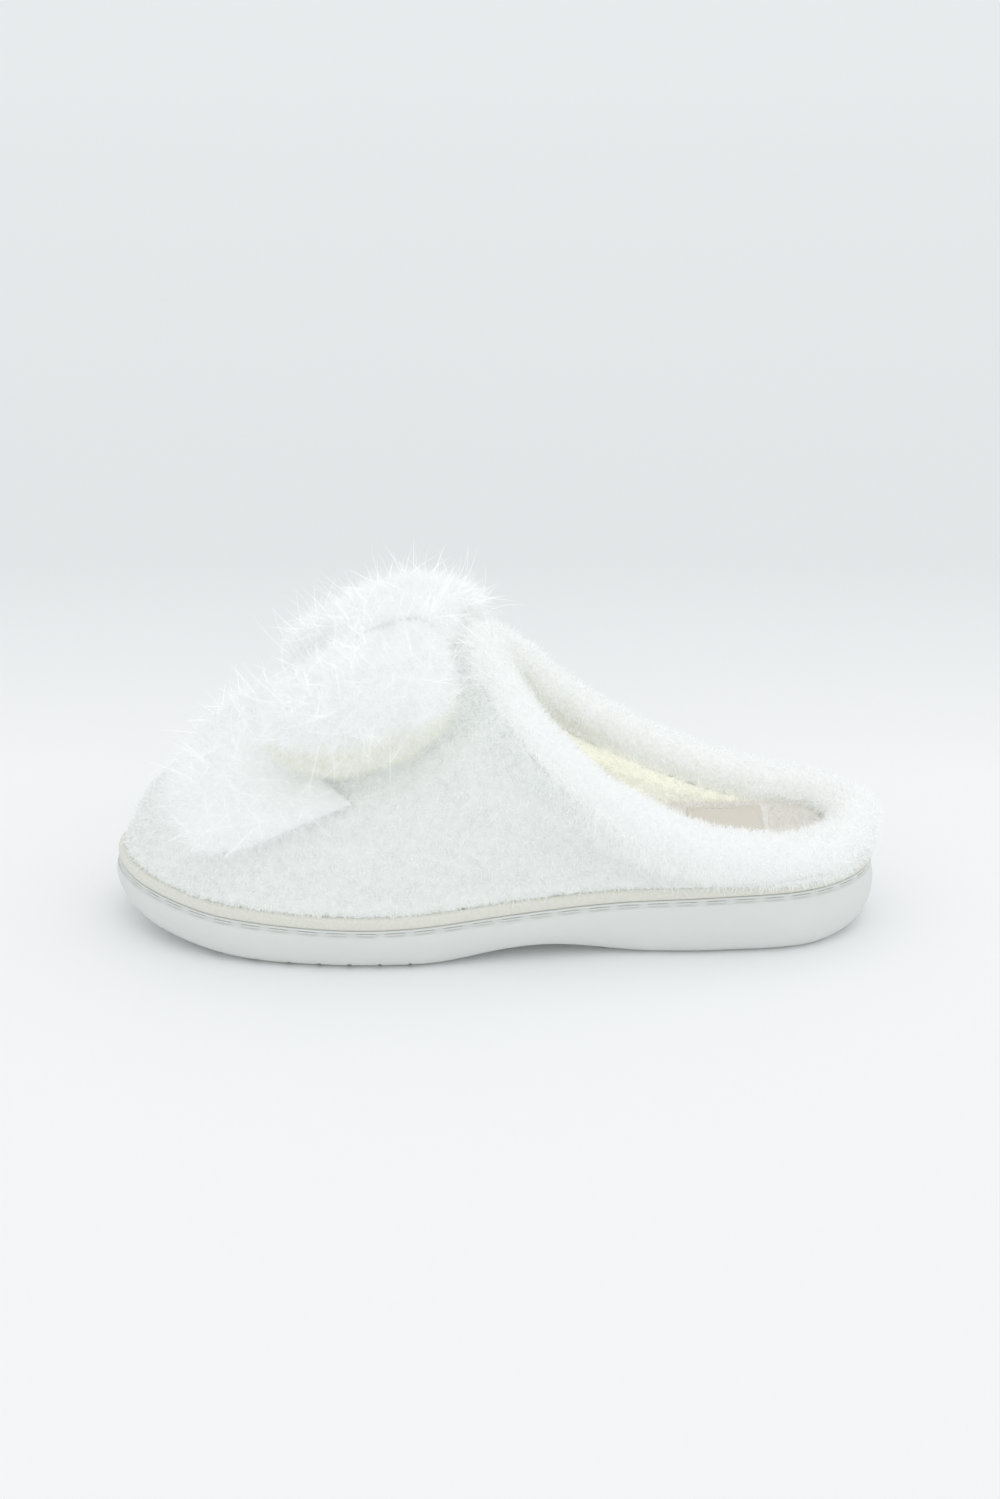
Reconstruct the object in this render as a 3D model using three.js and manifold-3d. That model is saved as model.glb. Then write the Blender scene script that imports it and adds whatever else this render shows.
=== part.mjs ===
// A closed-toe mule slipper for a left foot: a cupped moulded sole with a sewn welt, a padded plush
// upper with a rolled collar, a plush footbed and a stuffed bow with two loose tails on the vamp.
// Millimetres, +Z up. The toe points along -X and the outer (lateral) side of the foot is -Y.
// The origin is on the floor under the centre of the whole slipper.
import * as THREE from "three";
import { mergeVertices } from "three/addons/utils/BufferGeometryUtils.js";
import Module from "manifold-3d";

const wasm = await Module();
wasm.setup();

// ---------------------------------------------------------------- driving dimensions

const SOLE_LENGTH = 257; // toe tip to heel back, for a 240 mm foot
const STATIONS = 24; // steps from toe to heel on each side of every ring
const GAP = 0.4; // clearance between pieces that touch

// Plan outline of the sole: [distance from the toe tip, distance from the centre line].
const OUTLINE = [
  [0, 5], [9, -20], [34, -38], [68, -45.5], [100, -46], [134, -40.5], [166, -36], [202, -35.5],
  [234, -30.5], [251, -17], [257, 0], [251, 17], [234, 30.5], [202, 34.5], [166, 33.5], [134, 36],
  [100, 43], [68, 48], [34, 45], [9, 29],
];

// Height of the seam between cup and welt above the floor: [distance from the toe, height].
const SEAM_HEIGHT = [[0, 21.5], [36, 16.6], [90, 14.6], [143, 18.2], [200, 21.4], [257, 22.4]];

const TOE_SPRING = 9; // how far the toe tip stands off the floor
const TOE_SPRING_LENGTH = 60;
const ARCH_RISE = 4; // how far the waist stands off the floor
const ARCH_START = 103;
const ARCH_END = 182;
const HEEL_BEVEL_RISE = 3.5;
const HEEL_BEVEL_START = 234;

const CUP_WALL = 3.2;
const CUP_FLOOR = 4; // least thickness of the outsole under the midsole
const SOLE_TAPER = 3; // how much narrower the sole is at the floor, each side
const SEAM_INSET = 0.8; // how far the seam lies inside the widest line of the cup
const GROOVE_DEPTH = 1.5; // channel for the sidewall thread
const THREAD_RADIUS = 0.45;
const TREAD_DEPTH = 1.6;
const TREAD_WIDTH = 2.4;
const TREAD_PITCH = 9;
const TREAD_WAVE = 3; // amplitude of each wavy groove

const WELT_WIDTH = 3.8;
const WELT_HEIGHT = 4;
const BOARD_THICKNESS = 1.5;
const CUSHION_THICKNESS = 5;
const SOCK_THICKNESS = 4;

const SHELL_THICKNESS = 2.8; // plush face of the upper, pile included
const STIFFENER_THICKNESS = 0.9;
const PADDING_THICKNESS = 2.6; // thinnest, under the toe stiffener
const LINING_THICKNESS = 2.4;
const WALL = SHELL_THICKNESS + STIFFENER_THICKNESS + PADDING_THICKNESS + LINING_THICKNESS + 3 * GAP;
const WALL_INSET = 5.5 + WALL / 2; // middle of the upper's wall, inside the sole outline
const WALL_ROWS = 9;
const STIFFENER_ROWS = 4; // height of the toe stiffener in wall rows
const STIFFENER_SPAN = 8; // ring points each side of the toe
const COLLAR_RADIUS = 8;
const COLLAR_COVER_THICKNESS = 2.4;

// Middle line of the rolled collar: [distance from the toe, distance from the centre line, height],
// from the throat round the outer side to the heel and back along the inner side.
const TOPLINE = [
  [124.5, 1, 92.5], [128, -14, 90], [136, -23.5, 81.5], [147.5, -29.5, 69.5], [163, -32, 58],
  [181, -32.5, 48], [201, -31.5, 40], [222, -28, 35.8], [240, -19, 35.5], [249.5, 0, 36.5],
  [240, 19, 35.5], [222, 27.5, 35.8], [201, 31, 40], [181, 32, 48], [163, 31.5, 58],
  [147.5, 29.5, 69.5], [136, 25, 81.5], [128, 15, 90],
];
const TOPLINE_LAG = 1.45; // more than 1 fans the toe's lines of the upper out from the throat

const BOW_TILT = THREE.MathUtils.degToRad(17); // slope of the vamp under the bow
const KNOT = { x: 97, z: 105, length: 35, width: 26, height: 27, wall: 5 };
const LOOP_SKIN = 3;
const TAIL_THICKNESS = 5.5;
const BOW_SIDE = { lateral: -1, medial: 1 };
const MEDIAL_LOOP_SWING = 6; // how far the medial loop swings back towards the heel

const LABEL = { start: 194, end: 219, width: 21, thickness: 0.7 };

// ---------------------------------------------------------------- profiles

const smoothstep = (t) => THREE.MathUtils.smoothstep(t, 0, 1);

/** Height of a smooth line through [x, height] points, at x. */
function along(points, x) {
  const last = points.length - 1;
  const i = Math.max(0, Math.min(last - 1, points.findIndex((p) => p[0] > x) - 1 + (x >= points[last][0] ? last : 0)));
  const height = (k) => points[Math.max(0, Math.min(last, k))][1];
  const t = THREE.MathUtils.clamp((x - points[i][0]) / (points[i + 1][0] - points[i][0]), 0, 1);
  const [a, b, c, d] = [height(i - 1), height(i), height(i + 1), height(i + 2)];
  return b + 0.5 * t * (c - a + t * (2 * a - 5 * b + 4 * c - d + t * (3 * (b - c) + d - a)));
}

/** Height of the seam between the cup and the welt. */
const seamZ = (x) => along(SEAM_HEIGHT, x);

/** Height of the underside: toe spring, arch and heel bevel. */
function floorZ(x) {
  const spring = TOE_SPRING * Math.max(0, 1 - x / TOE_SPRING_LENGTH) ** 2;
  const inArch = THREE.MathUtils.clamp((x - ARCH_START) / (ARCH_END - ARCH_START), 0, 1);
  const arch = ARCH_RISE * Math.sin(Math.PI * inArch) ** 2;
  const bevel = (x - HEEL_BEVEL_START) / (SOLE_LENGTH - HEEL_BEVEL_START);
  return spring + arch + HEEL_BEVEL_RISE * Math.max(0, bevel) ** 2;
}

/** Top of the outsole's floor inside the cup. */
const cupFloorZ = (x) => floorZ(x) + CUP_FLOOR + 0.22 * (seamZ(x) - floorZ(x));

// ---------------------------------------------------------------- rings round the foot

/** The sole outline as 2 x STATIONS points: toe tip, outer side, heel, inner side. Points that face
 *  each other across the foot have the same distance from the toe. */
function samplePlan() {
  const curve = new THREE.CatmullRomCurve3(OUTLINE.map(([x, y]) => new THREE.Vector3(x, y, 0)), true);
  const heel = OUTLINE.findIndex(([x]) => x === SOLE_LENGTH) / OUTLINE.length;
  const at = (x, from, to) => {
    let [low, high] = [from, to];
    for (let step = 0; step < 40; step++) {
      const middle = (low + high) / 2;
      if (curve.getPoint(middle).x < x) low = middle;
      else high = middle;
    }
    return curve.getPoint((low + high) / 2);
  };
  const x = (i) => (SOLE_LENGTH / 2) * (1 - Math.cos((Math.PI * i) / STATIONS));
  const outer = Array.from({ length: STATIONS - 1 }, (_, i) => at(x(i + 1), 0, heel));
  const inner = Array.from({ length: STATIONS - 1 }, (_, i) => at(x(STATIONS - 1 - i), 1, heel));
  return [curve.getPoint(0), ...outer, curve.getPoint(heel), ...inner];
}

const PLAN = samplePlan();
const RING = PLAN.length;
const wrap = (i) => ((i % RING) + RING) % RING;

/** Outward horizontal direction of the outline at each ring point. */
const OUTWARD = PLAN.map((_, i) => {
  const tangent = PLAN[wrap(i + 1)].clone().sub(PLAN[wrap(i - 1)]);
  return new THREE.Vector3(tangent.y, -tangent.x, 0).normalize().multiplyScalar(-1);
});
if (OUTWARD[0].x > 0) OUTWARD.forEach((n) => n.negate());

/** Share of the way round the foot of each ring point: 0 at the toe, 0.5 at the heel. */
const SHARE = (() => {
  const lengths = [0];
  for (let i = 1; i <= RING; i++) lengths.push(lengths[i - 1] + PLAN[wrap(i)].distanceTo(PLAN[i - 1]));
  return lengths.slice(0, RING).map((l, i) => (i <= RING / 2
    ? 0.5 * (l / lengths[RING / 2])
    : 1 - 0.5 * ((lengths[RING] - l) / (lengths[RING] - lengths[RING / 2]))));
})();

/** The outline moved in by inset, at the height that heightAt(x) gives. */
const ring = (inset, heightAt) => PLAN.map((p, i) => {
  const moved = p.clone().addScaledVector(OUTWARD[i], -inset);
  return moved.setZ(heightAt(moved.x));
});

// ---------------------------------------------------------------- closed bodies

/** A closed BufferGeometry from points and triangles, turned to face out. */
function body(points, triangles) {
  const volume = triangles.reduce((sum, [a, b, c]) =>
    sum + points[a].dot(points[b].clone().cross(points[c])), 0);
  const facing = volume < 0 ? triangles.map(([a, b, c]) => [a, c, b]) : triangles;
  const geometry = new THREE.BufferGeometry();
  geometry.setAttribute("position", new THREE.Float32BufferAttribute(points.flatMap((p) => p.toArray()), 3));
  geometry.setIndex(facing.flat());
  geometry.computeVertexNormals();
  return geometry;
}

/** Triangles between consecutive rings of the same length, with the last joined to the first in a loop. */
function bands(rings, size, loop) {
  const triangles = [];
  for (let r = 0; r < rings - (loop ? 0 : 1); r++) {
    for (let i = 0; i < size; i++) {
      const [a, b] = [r * size + i, r * size + ((i + 1) % size)];
      const next = ((r + 1) % rings) * size;
      const [c, d] = [next + ((i + 1) % size), next + i];
      triangles.push([a, b, c], [a, c, d]);
    }
  }
  return triangles;
}

/** Triangles that close one ring with strips between the points that face each other across it. */
function lid(start, size, flip) {
  const triangles = [];
  for (let i = 0; i < size / 2; i++) {
    const [a, b] = [start + i, start + i + 1];
    const [c, d] = [start + ((size - i - 1) % size), start + ((size - i) % size)];
    for (const t of [[a, b, c], [a, c, d]]) {
      if (new Set(t).size === 3) triangles.push(flip ? [t[0], t[2], t[1]] : t);
    }
  }
  return triangles;
}

/** A solid whose skin runs through a list of rings and is closed by a lid at each end. */
function stacked(rings) {
  const size = rings[0].length;
  const last = (rings.length - 1) * size;
  return body(rings.flat(), [...bands(rings.length, size, false), ...lid(0, size, true), ...lid(last, size, false)]);
}

/** A solid shaped like a tyre: its section is the list of rings. */
const looped = (rings) => body(rings.flat(), bands(rings.length, rings[0].length, true));

/** A curved plate between two grids of points with the same rows and columns. */
function plate(outer, inner) {
  const [rows, columns] = [outer.length, outer[0].length];
  const id = (side, r, c) => (side * rows + r) * columns + c;
  const triangles = [];
  const quad = (a, b, c, d) => triangles.push([a, b, c], [a, c, d]);
  for (let r = 0; r < rows - 1; r++) {
    for (let c = 0; c < columns - 1; c++) {
      quad(id(0, r, c), id(0, r, c + 1), id(0, r + 1, c + 1), id(0, r + 1, c));
      quad(id(1, r, c), id(1, r + 1, c), id(1, r + 1, c + 1), id(1, r, c + 1));
    }
    quad(id(0, r, 0), id(0, r + 1, 0), id(1, r + 1, 0), id(1, r, 0));
    quad(id(0, r, columns - 1), id(1, r, columns - 1), id(1, r + 1, columns - 1), id(0, r + 1, columns - 1));
  }
  for (let c = 0; c < columns - 1; c++) {
    quad(id(0, 0, c), id(1, 0, c), id(1, 0, c + 1), id(0, 0, c + 1));
    quad(id(0, rows - 1, c), id(0, rows - 1, c + 1), id(1, rows - 1, c + 1), id(1, rows - 1, c));
  }
  return body([...outer.flat(), ...inner.flat()], triangles);
}

/** Geometry to manifold-3d solid and back, for boolean cuts. */
function solidOf(geometry) {
  const bare = new THREE.BufferGeometry();
  bare.setAttribute("position", geometry.getAttribute("position").clone());
  bare.setIndex(geometry.getIndex() ? geometry.getIndex().clone() : null);
  const merged = mergeVertices(bare, 1e-4);
  return new wasm.Manifold(new wasm.Mesh({
    numProp: 3,
    vertProperties: new Float32Array(merged.getAttribute("position").array),
    triVerts: new Uint32Array(merged.getIndex().array),
  }));
}

function geometryOf(solid) {
  const mesh = solid.getMesh();
  const geometry = new THREE.BufferGeometry();
  geometry.setAttribute("position", new THREE.BufferAttribute(new Float32Array(mesh.vertProperties), 3));
  geometry.setIndex(new THREE.BufferAttribute(new Uint32Array(mesh.triVerts), 1));
  geometry.computeVertexNormals();
  return geometry;
}

// ---------------------------------------------------------------- sole unit

/** A wavy bar across the sole, to cut one tread groove at distance x from the toe. */
function treadCutter(x) {
  const halfLength = 60;
  const steps = 10;
  const shape = new THREE.Shape();
  const edge = (side) => Array.from({ length: steps + 1 }, (_, k) => {
    const y = -halfLength + (2 * halfLength * k) / steps;
    return new THREE.Vector2(x + (side * TREAD_WIDTH) / 2 + TREAD_WAVE * (k % 2 ? 1 : -1), y);
  });
  shape.setFromPoints([...edge(-1), ...edge(1).reverse()]);
  const depth = 10;
  const bar = new THREE.ExtrudeGeometry(shape, { depth, bevelEnabled: false });
  return bar.translate(0, 0, floorZ(x) + TREAD_DEPTH - depth);
}

/** The moulded cup: tapered wall, channel for the thread, rim, inner wall and floor, with tread. */
function outsole() {
  const wallZ = (share) => (x) => THREE.MathUtils.lerp(floorZ(x), seamZ(x), share);
  const below = (drop) => (x) => seamZ(x) - drop;
  const cup = solidOf(stacked([
    ring(SOLE_TAPER + 1.5, floorZ),
    ring(SOLE_TAPER, wallZ(0.1)),
    ring(SOLE_TAPER / 4, wallZ(0.35)),
    ring(0, wallZ(0.6)),
    ring(SEAM_INSET, below(2.4)),
    ring(SEAM_INSET + GROOVE_DEPTH, below(2.1)),
    ring(SEAM_INSET + GROOVE_DEPTH, below(0.9)),
    ring(SEAM_INSET, below(0.6)),
    ring(SEAM_INSET + 0.3, below(0)),
    ring(CUP_WALL, below(0)),
    ring(CUP_WALL, cupFloorZ),
  ]));
  const grooves = [];
  for (let x = 2 * TREAD_PITCH; x < ARCH_START; x += TREAD_PITCH) grooves.push(x);
  for (let x = ARCH_END + 3; x < SOLE_LENGTH - TREAD_PITCH; x += TREAD_PITCH) grooves.push(x);
  return geometryOf(grooves.reduce((left, x) => left.subtract(solidOf(treadCutter(x))), cup));
}

/** The cream strip along the top of the cup, rounded on its outer edge. */
function weltStrip() {
  const above = (rise) => (x) => seamZ(x) + rise;
  const inset = (share) => SEAM_INSET + share * WELT_WIDTH;
  return looped([
    ring(inset(0.08), above(GAP)),
    ring(inset(0), above(0.4 * WELT_HEIGHT)),
    ring(inset(0.2), above(0.85 * WELT_HEIGHT)),
    ring(inset(0.6), above(WELT_HEIGHT)),
    ring(inset(1), above(0.9 * WELT_HEIGHT)),
    ring(inset(1), above(GAP)),
  ]);
}

/** A thread laid round the foot at one inset and height. */
function threadRing(inset, heightAt, radius) {
  const sides = 6;
  return looped(Array.from({ length: sides }, (_, k) => {
    const turn = (2 * Math.PI * k) / sides;
    return ring(inset + radius * Math.cos(turn), (x) => heightAt(x) + radius * Math.sin(turn));
  }));
}

const sidewallThread = () => threadRing(
  SEAM_INSET + THREAD_RADIUS + 0.2, (x) => seamZ(x) - 1.5, THREAD_RADIUS);

const boardTop = (x) => seamZ(x) - 0.5;

const lastingThread = () => threadRing(
  CUP_WALL + GAP + THREAD_RADIUS, (x) => boardTop(x) - BOARD_THICKNESS / 2, THREAD_RADIUS);

/** A layer inside the cup or the upper, with its upper edge eased. */
function layer(inset, bottomAt, topAt, ease = 0) {
  return stacked([
    ring(inset, bottomAt),
    ring(inset, (x) => topAt(x) - ease),
    ring(inset + ease, topAt),
  ]);
}

const midsole = () => layer(
  CUP_WALL + GAP, (x) => cupFloorZ(x) + GAP, (x) => boardTop(x) - BOARD_THICKNESS - GAP, 0.5);

const insoleBoard = () => layer(
  CUP_WALL + 2 * GAP + 2 * THREAD_RADIUS, (x) => boardTop(x) - BOARD_THICKNESS, boardTop, 0.3);

const FOOTBED_INSET = WALL_INSET + WALL / 2 + 2 * GAP;
const cushionTop = (x) => seamZ(x) + CUSHION_THICKNESS;
const sockTop = (x) => cushionTop(x) + GAP + SOCK_THICKNESS;

const cushion = () => layer(FOOTBED_INSET, (x) => boardTop(x) + GAP, cushionTop, 1);

const sock = () => layer(FOOTBED_INSET, (x) => cushionTop(x) + GAP, sockTop, 1.4);

/** The sewn-in label on the heel of the footbed. */
function sockLabel() {
  const steps = 4;
  const grid = (rise) => Array.from({ length: steps + 1 }, (_, k) => {
    const x = THREE.MathUtils.lerp(LABEL.start, LABEL.end, k / steps);
    return [-1, 1].map((side) => new THREE.Vector3(x, (side * LABEL.width) / 2, sockTop(x) + rise));
  });
  return plate(grid(GAP + LABEL.thickness), grid(GAP));
}

// ---------------------------------------------------------------- upper

const topCurve = new THREE.CatmullRomCurve3(TOPLINE.map((p) => new THREE.Vector3(...p)), true);

/** Share round the top line that belongs to a share round the sole. */
function topShare(share) {
  const half = share <= 0.5 ? share : 1 - share;
  const lagged = 0.5 * (2 * half) ** TOPLINE_LAG;
  return share <= 0.5 ? lagged : 1 - lagged;
}

const COLLAR = SHARE.map((share) => topCurve.getPointAt(topShare(share) % 1));

/** One line of the upper's middle surface, from the sole edge up to the collar. */
const wallLines = PLAN.map((p, i) => {
  const foot = p.clone().addScaledVector(OUTWARD[i], -WALL_INSET);
  foot.setZ(boardTop(foot.x) + GAP);
  const top = COLLAR[i].clone();
  const rise = top.z - foot.z;
  const across = new THREE.Vector3(top.x - foot.x, top.y - foot.y, 0);
  const lower = foot.clone().addScaledVector(OUTWARD[i], 0.05 * rise);
  lower.z += 0.47 * rise;
  const upper = top.clone().addScaledVector(across, -0.48);
  upper.z -= Math.max(0.17 * across.length(), 0.3 * rise * (1 - smoothstep(across.length() / 40)));
  return new THREE.CubicBezierCurve3(foot, lower, upper, top);
});

/** Outward normal of the middle surface on line i at share t. At the sole it is level. */
function wallNormal(i, t) {
  const upward = wallLines[i].getTangent(t);
  const round = wallLines[wrap(i + 1)].getPoint(t).sub(wallLines[wrap(i - 1)].getPoint(t));
  const normal = round.cross(upward).normalize();
  if (normal.dot(OUTWARD[i]) + normal.z < 0) normal.negate();
  return OUTWARD[i].clone().lerp(normal, smoothstep(t / 0.3)).normalize();
}

/** The point at share t of line i, moved off the middle surface. */
function offMiddle(i, t, off) {
  const onLine = wallLines[i].getPoint(t);
  const point = onLine.clone().addScaledVector(wallNormal(i, t), off);
  point.z += (1 - smoothstep(t / 0.3)) * (boardTop(point.x) - boardTop(onLine.x));
  return point;
}

/** Distance of a point from the middle line of the collar near ring point i. */
function collarDistance(point, i) {
  const foot = new THREE.Vector3();
  const spans = [-2, -1, 0, 1].map((k) => new THREE.Line3(COLLAR[wrap(i + k)], COLLAR[wrap(i + k + 1)]));
  return Math.min(...spans.map((span) => span.closestPointToPoint(point, true, foot).distanceTo(point)));
}

/** Share of line i where a layer stops, just short of the collar. */
function wallEnd(i, off) {
  let [low, high] = [0, 1];
  for (let step = 0; step < 20; step++) {
    const middle = (low + high) / 2;
    if (collarDistance(offMiddle(i, middle, off), i) > COLLAR_RADIUS + GAP) low = middle;
    else high = middle;
  }
  return low;
}

/** A point of the upper: line i, share v from the sole to the collar, off the middle surface. */
function wallPoint(i, v, off) {
  const line = wrap(i);
  return offMiddle(line, v * wallEnd(line, off), off);
}

const ROW_SHARES = Array.from({ length: WALL_ROWS + 1 }, (_, k) => (k / WALL_ROWS) ** 1.15);

/** A layer of the upper all the way round the foot. insideAt and outsideAt give its faces' distance
 *  off the middle surface at a ring point and row. */
function wallLayer(insideAt, outsideAt) {
  const face = (offAt) => ROW_SHARES.map((v, row) => PLAN.map((_, i) => wallPoint(i, v, offAt(i, row))));
  return looped([...face(outsideAt), ...face(insideAt).reverse()]);
}

const SHELL_INSIDE = WALL / 2 - SHELL_THICKNESS;
const STIFFENER_INSIDE = SHELL_INSIDE - GAP - STIFFENER_THICKNESS;
const LINING_OUTSIDE = -WALL / 2 + LINING_THICKNESS;

const upperShell = () => wallLayer(() => SHELL_INSIDE, () => WALL / 2);
const upperLining = () => wallLayer(() => -WALL / 2, () => LINING_OUTSIDE);

const underStiffener = (i, row) =>
  Math.min(i, RING - i) <= STIFFENER_SPAN && row <= STIFFENER_ROWS;

/** The foam between shell and lining, thinner under the toe stiffener. */
const upperPadding = () => wallLayer(
  () => LINING_OUTSIDE + GAP,
  (i, row) => (underStiffener(i, row) ? STIFFENER_INSIDE : SHELL_INSIDE) - GAP);

/** The sheet that keeps the toe of the upper in shape. */
function toeStiffener() {
  const columns = Array.from({ length: 2 * STIFFENER_SPAN + 1 }, (_, k) => k - STIFFENER_SPAN);
  const face = (off) => columns.map((i) =>
    ROW_SHARES.slice(0, STIFFENER_ROWS + 1).map((v) => wallPoint(i, v, off)));
  return plate(face(SHELL_INSIDE - GAP), face(STIFFENER_INSIDE));
}

// ---------------------------------------------------------------- collar

/** Across and away directions of the collar's section at ring point i: away points from the wall. */
function collarFrame(i) {
  const tangent = COLLAR[wrap(i + 1)].clone().sub(COLLAR[wrap(i - 1)]).normalize();
  const away = COLLAR[i].clone().sub(wallLines[i].getPoint(wallEnd(i, 0)));
  away.addScaledVector(tangent, -away.dot(tangent)).normalize();
  return { away, across: tangent.cross(away) };
}

const COLLAR_FRAMES = PLAN.map((_, i) => collarFrame(i));

/** A ring of the collar at one angle from its crest and one radius. */
const collarRing = (angle, radius) => PLAN.map((_, i) => COLLAR[i].clone()
  .addScaledVector(COLLAR_FRAMES[i].away, radius * Math.cos(angle))
  .addScaledVector(COLLAR_FRAMES[i].across, radius * Math.sin(angle)));

/** The plush cover of the collar: rolled over the core and open towards the wall. */
function collarCover() {
  const mouth = THREE.MathUtils.degToRad(148);
  const arc = (radius, steps, way) => Array.from({ length: steps + 1 }, (_, k) =>
    collarRing(way * mouth * (1 - (2 * k) / steps), radius));
  return looped([...arc(COLLAR_RADIUS, 8, 1), ...arc(COLLAR_RADIUS - COLLAR_COVER_THICKNESS, 6, -1)]);
}

/** The foam cord inside the collar. */
function collarCore() {
  const sides = 7;
  const radius = (COLLAR_RADIUS - COLLAR_COVER_THICKNESS) * Math.cos(Math.PI / 6) - GAP;
  return looped(Array.from({ length: sides }, (_, k) => collarRing((2 * Math.PI * k) / sides, radius)));
}

// ---------------------------------------------------------------- bow

// Sections of one bow loop from the knot out: distance from the centre line, middle, length along
// the foot and thickness.
const LOOP_SECTIONS = [
  { out: 0.6, x: 97, z: 105, length: 22, height: 14 },
  { out: 14, x: 96.7, z: 104.6, length: 23, height: 15 },
  { out: 19, x: 93, z: 101.5, length: 37, height: 21 },
  { out: 27, x: 88.5, z: 99, length: 54, height: 25 },
  { out: 35, x: 86, z: 97.5, length: 60, height: 26.5 },
  { out: 42, x: 85, z: 96, length: 57, height: 25.5 },
  { out: 48, x: 85, z: 94.5, length: 44, height: 19 },
  { out: 51, x: 85, z: 93.5, length: 21, height: 9 },
];
const LOOP_POINTS = 16;

/** A point of an oval that leans with the vamp. */
function bowOval(x, y, z, halfLength, halfHeight, turn) {
  const squared = (value) => Math.sign(value) * Math.abs(value) ** 0.78;
  const offset = new THREE.Vector3(halfLength * squared(Math.cos(turn)), 0, halfHeight * squared(Math.sin(turn)));
  return offset.applyAxisAngle(new THREE.Vector3(0, 1, 0), -BOW_TILT).add(new THREE.Vector3(x, y, z));
}

/** One oval section of a bow loop, smaller all round by inset. */
function loopRing({ out, x, z, length, height }, side, inset) {
  const swing = side === BOW_SIDE.medial ? MEDIAL_LOOP_SWING * smoothstep((out - 14) / 14) : 0;
  return Array.from({ length: LOOP_POINTS }, (_, k) => bowOval(
    x + swing, side * out, z, length / 2 - inset, height / 2 - inset, (2 * Math.PI * k) / LOOP_POINTS));
}

/** The plush skin of one loop: closed at its outer end and open in the knot. */
function bowLoop(side) {
  const outside = LOOP_SECTIONS.map((section) => loopRing(section, side, 0));
  const inside = LOOP_SECTIONS.slice(0, -1).map((section, k, all) =>
    loopRing(k < all.length - 1 ? section : { ...section, out: section.out - 1 }, side, LOOP_SKIN));
  return stacked([...inside.reverse(), ...outside]);
}

/** The fibre filling of one loop. */
function bowFilling(side) {
  const sections = LOOP_SECTIONS.slice(1, -1);
  const tip = sections.at(-1);
  sections[sections.length - 1] = { ...tip, out: tip.out - 2.2, length: tip.length - 2, height: tip.height - 2 };
  return stacked(sections.map((section) => loopRing(section, side, LOOP_SKIN + GAP)));
}

/** The band wrapped round the middle of the bow. */
function bowKnot() {
  const points = 16;
  const section = [
    { out: -1, grow: 0.4 }, { out: -0.7, grow: 1 }, { out: 0.7, grow: 1 }, { out: 1, grow: 0.4 },
    { out: 0.8, grow: 0 }, { out: -0.8, grow: 0 },
  ];
  return looped(section.map(({ out, grow }) => Array.from({ length: points }, (_, k) => bowOval(
    KNOT.x,
    (out * KNOT.width) / 2,
    KNOT.z,
    KNOT.length / 2 - (1 - grow) * KNOT.wall,
    KNOT.height / 2 - (1 - grow) * KNOT.wall,
    (2 * Math.PI * k) / points,
  ))));
}

// Corners of one tail on the upper, as [ring points from the toe, share of the line]: the end under
// the knot and the free end, each from its front edge to its back edge.
const TAIL_ROOT = [[0.7, 0.7], [7.8, 0.5]];
const TAIL_TIP = [[1.6, 0.36], [5.1, 0.18]];
const TAIL_DROOP = 0.06; // how far the middle of the back edge hangs lower, as a share of the line

/** A point of the upper between ring points: a straight mix of the two lines beside it. */
function wallBetween(i, v, off) {
  const low = Math.floor(i);
  return wallPoint(low, v, off).lerp(wallPoint(low + 1, v, off), i - low);
}

/** One loose tail of the bow, lying on the vamp. */
function bowTail(side) {
  const steps = 6;
  const mix = THREE.MathUtils.lerp;
  const corner = (end, axis, over) => mix(end[0][axis], end[1][axis], over);
  const face = (off) => Array.from({ length: steps + 1 }, (_, k) =>
    Array.from({ length: steps + 1 }, (_, j) => {
      const [i, v] = [0, 1].map((axis) =>
        mix(corner(TAIL_ROOT, axis, j / steps), corner(TAIL_TIP, axis, j / steps), k / steps));
      const droop = TAIL_DROOP * Math.sin((Math.PI * k) / steps) * (j / steps);
      return wallBetween(-side * i, v - droop, off);
    }));
  const lift = WALL / 2 + 1.5;
  return plate(face(lift + TAIL_THICKNESS), face(lift));
}

/** The stitches that hold the knot down on the vamp. */
function bowBartack() {
  const vamp = wallPoint(0, 0.895, WALL / 2 + GAP);
  const length = 1.6;
  const bar = new THREE.CylinderGeometry(2, 2, length, 10);
  bar.rotateX(Math.PI / 2).translate(0, 0, length / 2).rotateY(-BOW_TILT);
  return bar.translate(vamp.x, vamp.y, vamp.z);
}

// ---------------------------------------------------------------- assembly

const finish = (color, roughness) => new THREE.MeshStandardMaterial({ color, roughness, metalness: 0 });

const FINISH = {
  sole: finish(0xe6e8e3, 0.55),
  welt: finish(0xeeece0, 0.5),
  thread: finish(0xeeebe2, 0.7),
  foam: finish(0xf1ece0, 0.9),
  board: finish(0xd9cfb8, 0.9),
  plush: finish(0xf6f7f4, 0.95),
  lining: finish(0xf0eedf, 0.95),
  sock: finish(0xf5efe9, 0.95),
  label: finish(0xddd0b6, 0.8),
  stiffener: finish(0xe4e0d6, 0.8),
  bow: finish(0xf8f9f8, 0.9),
  filling: finish(0xfafafa, 1),
};

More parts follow.
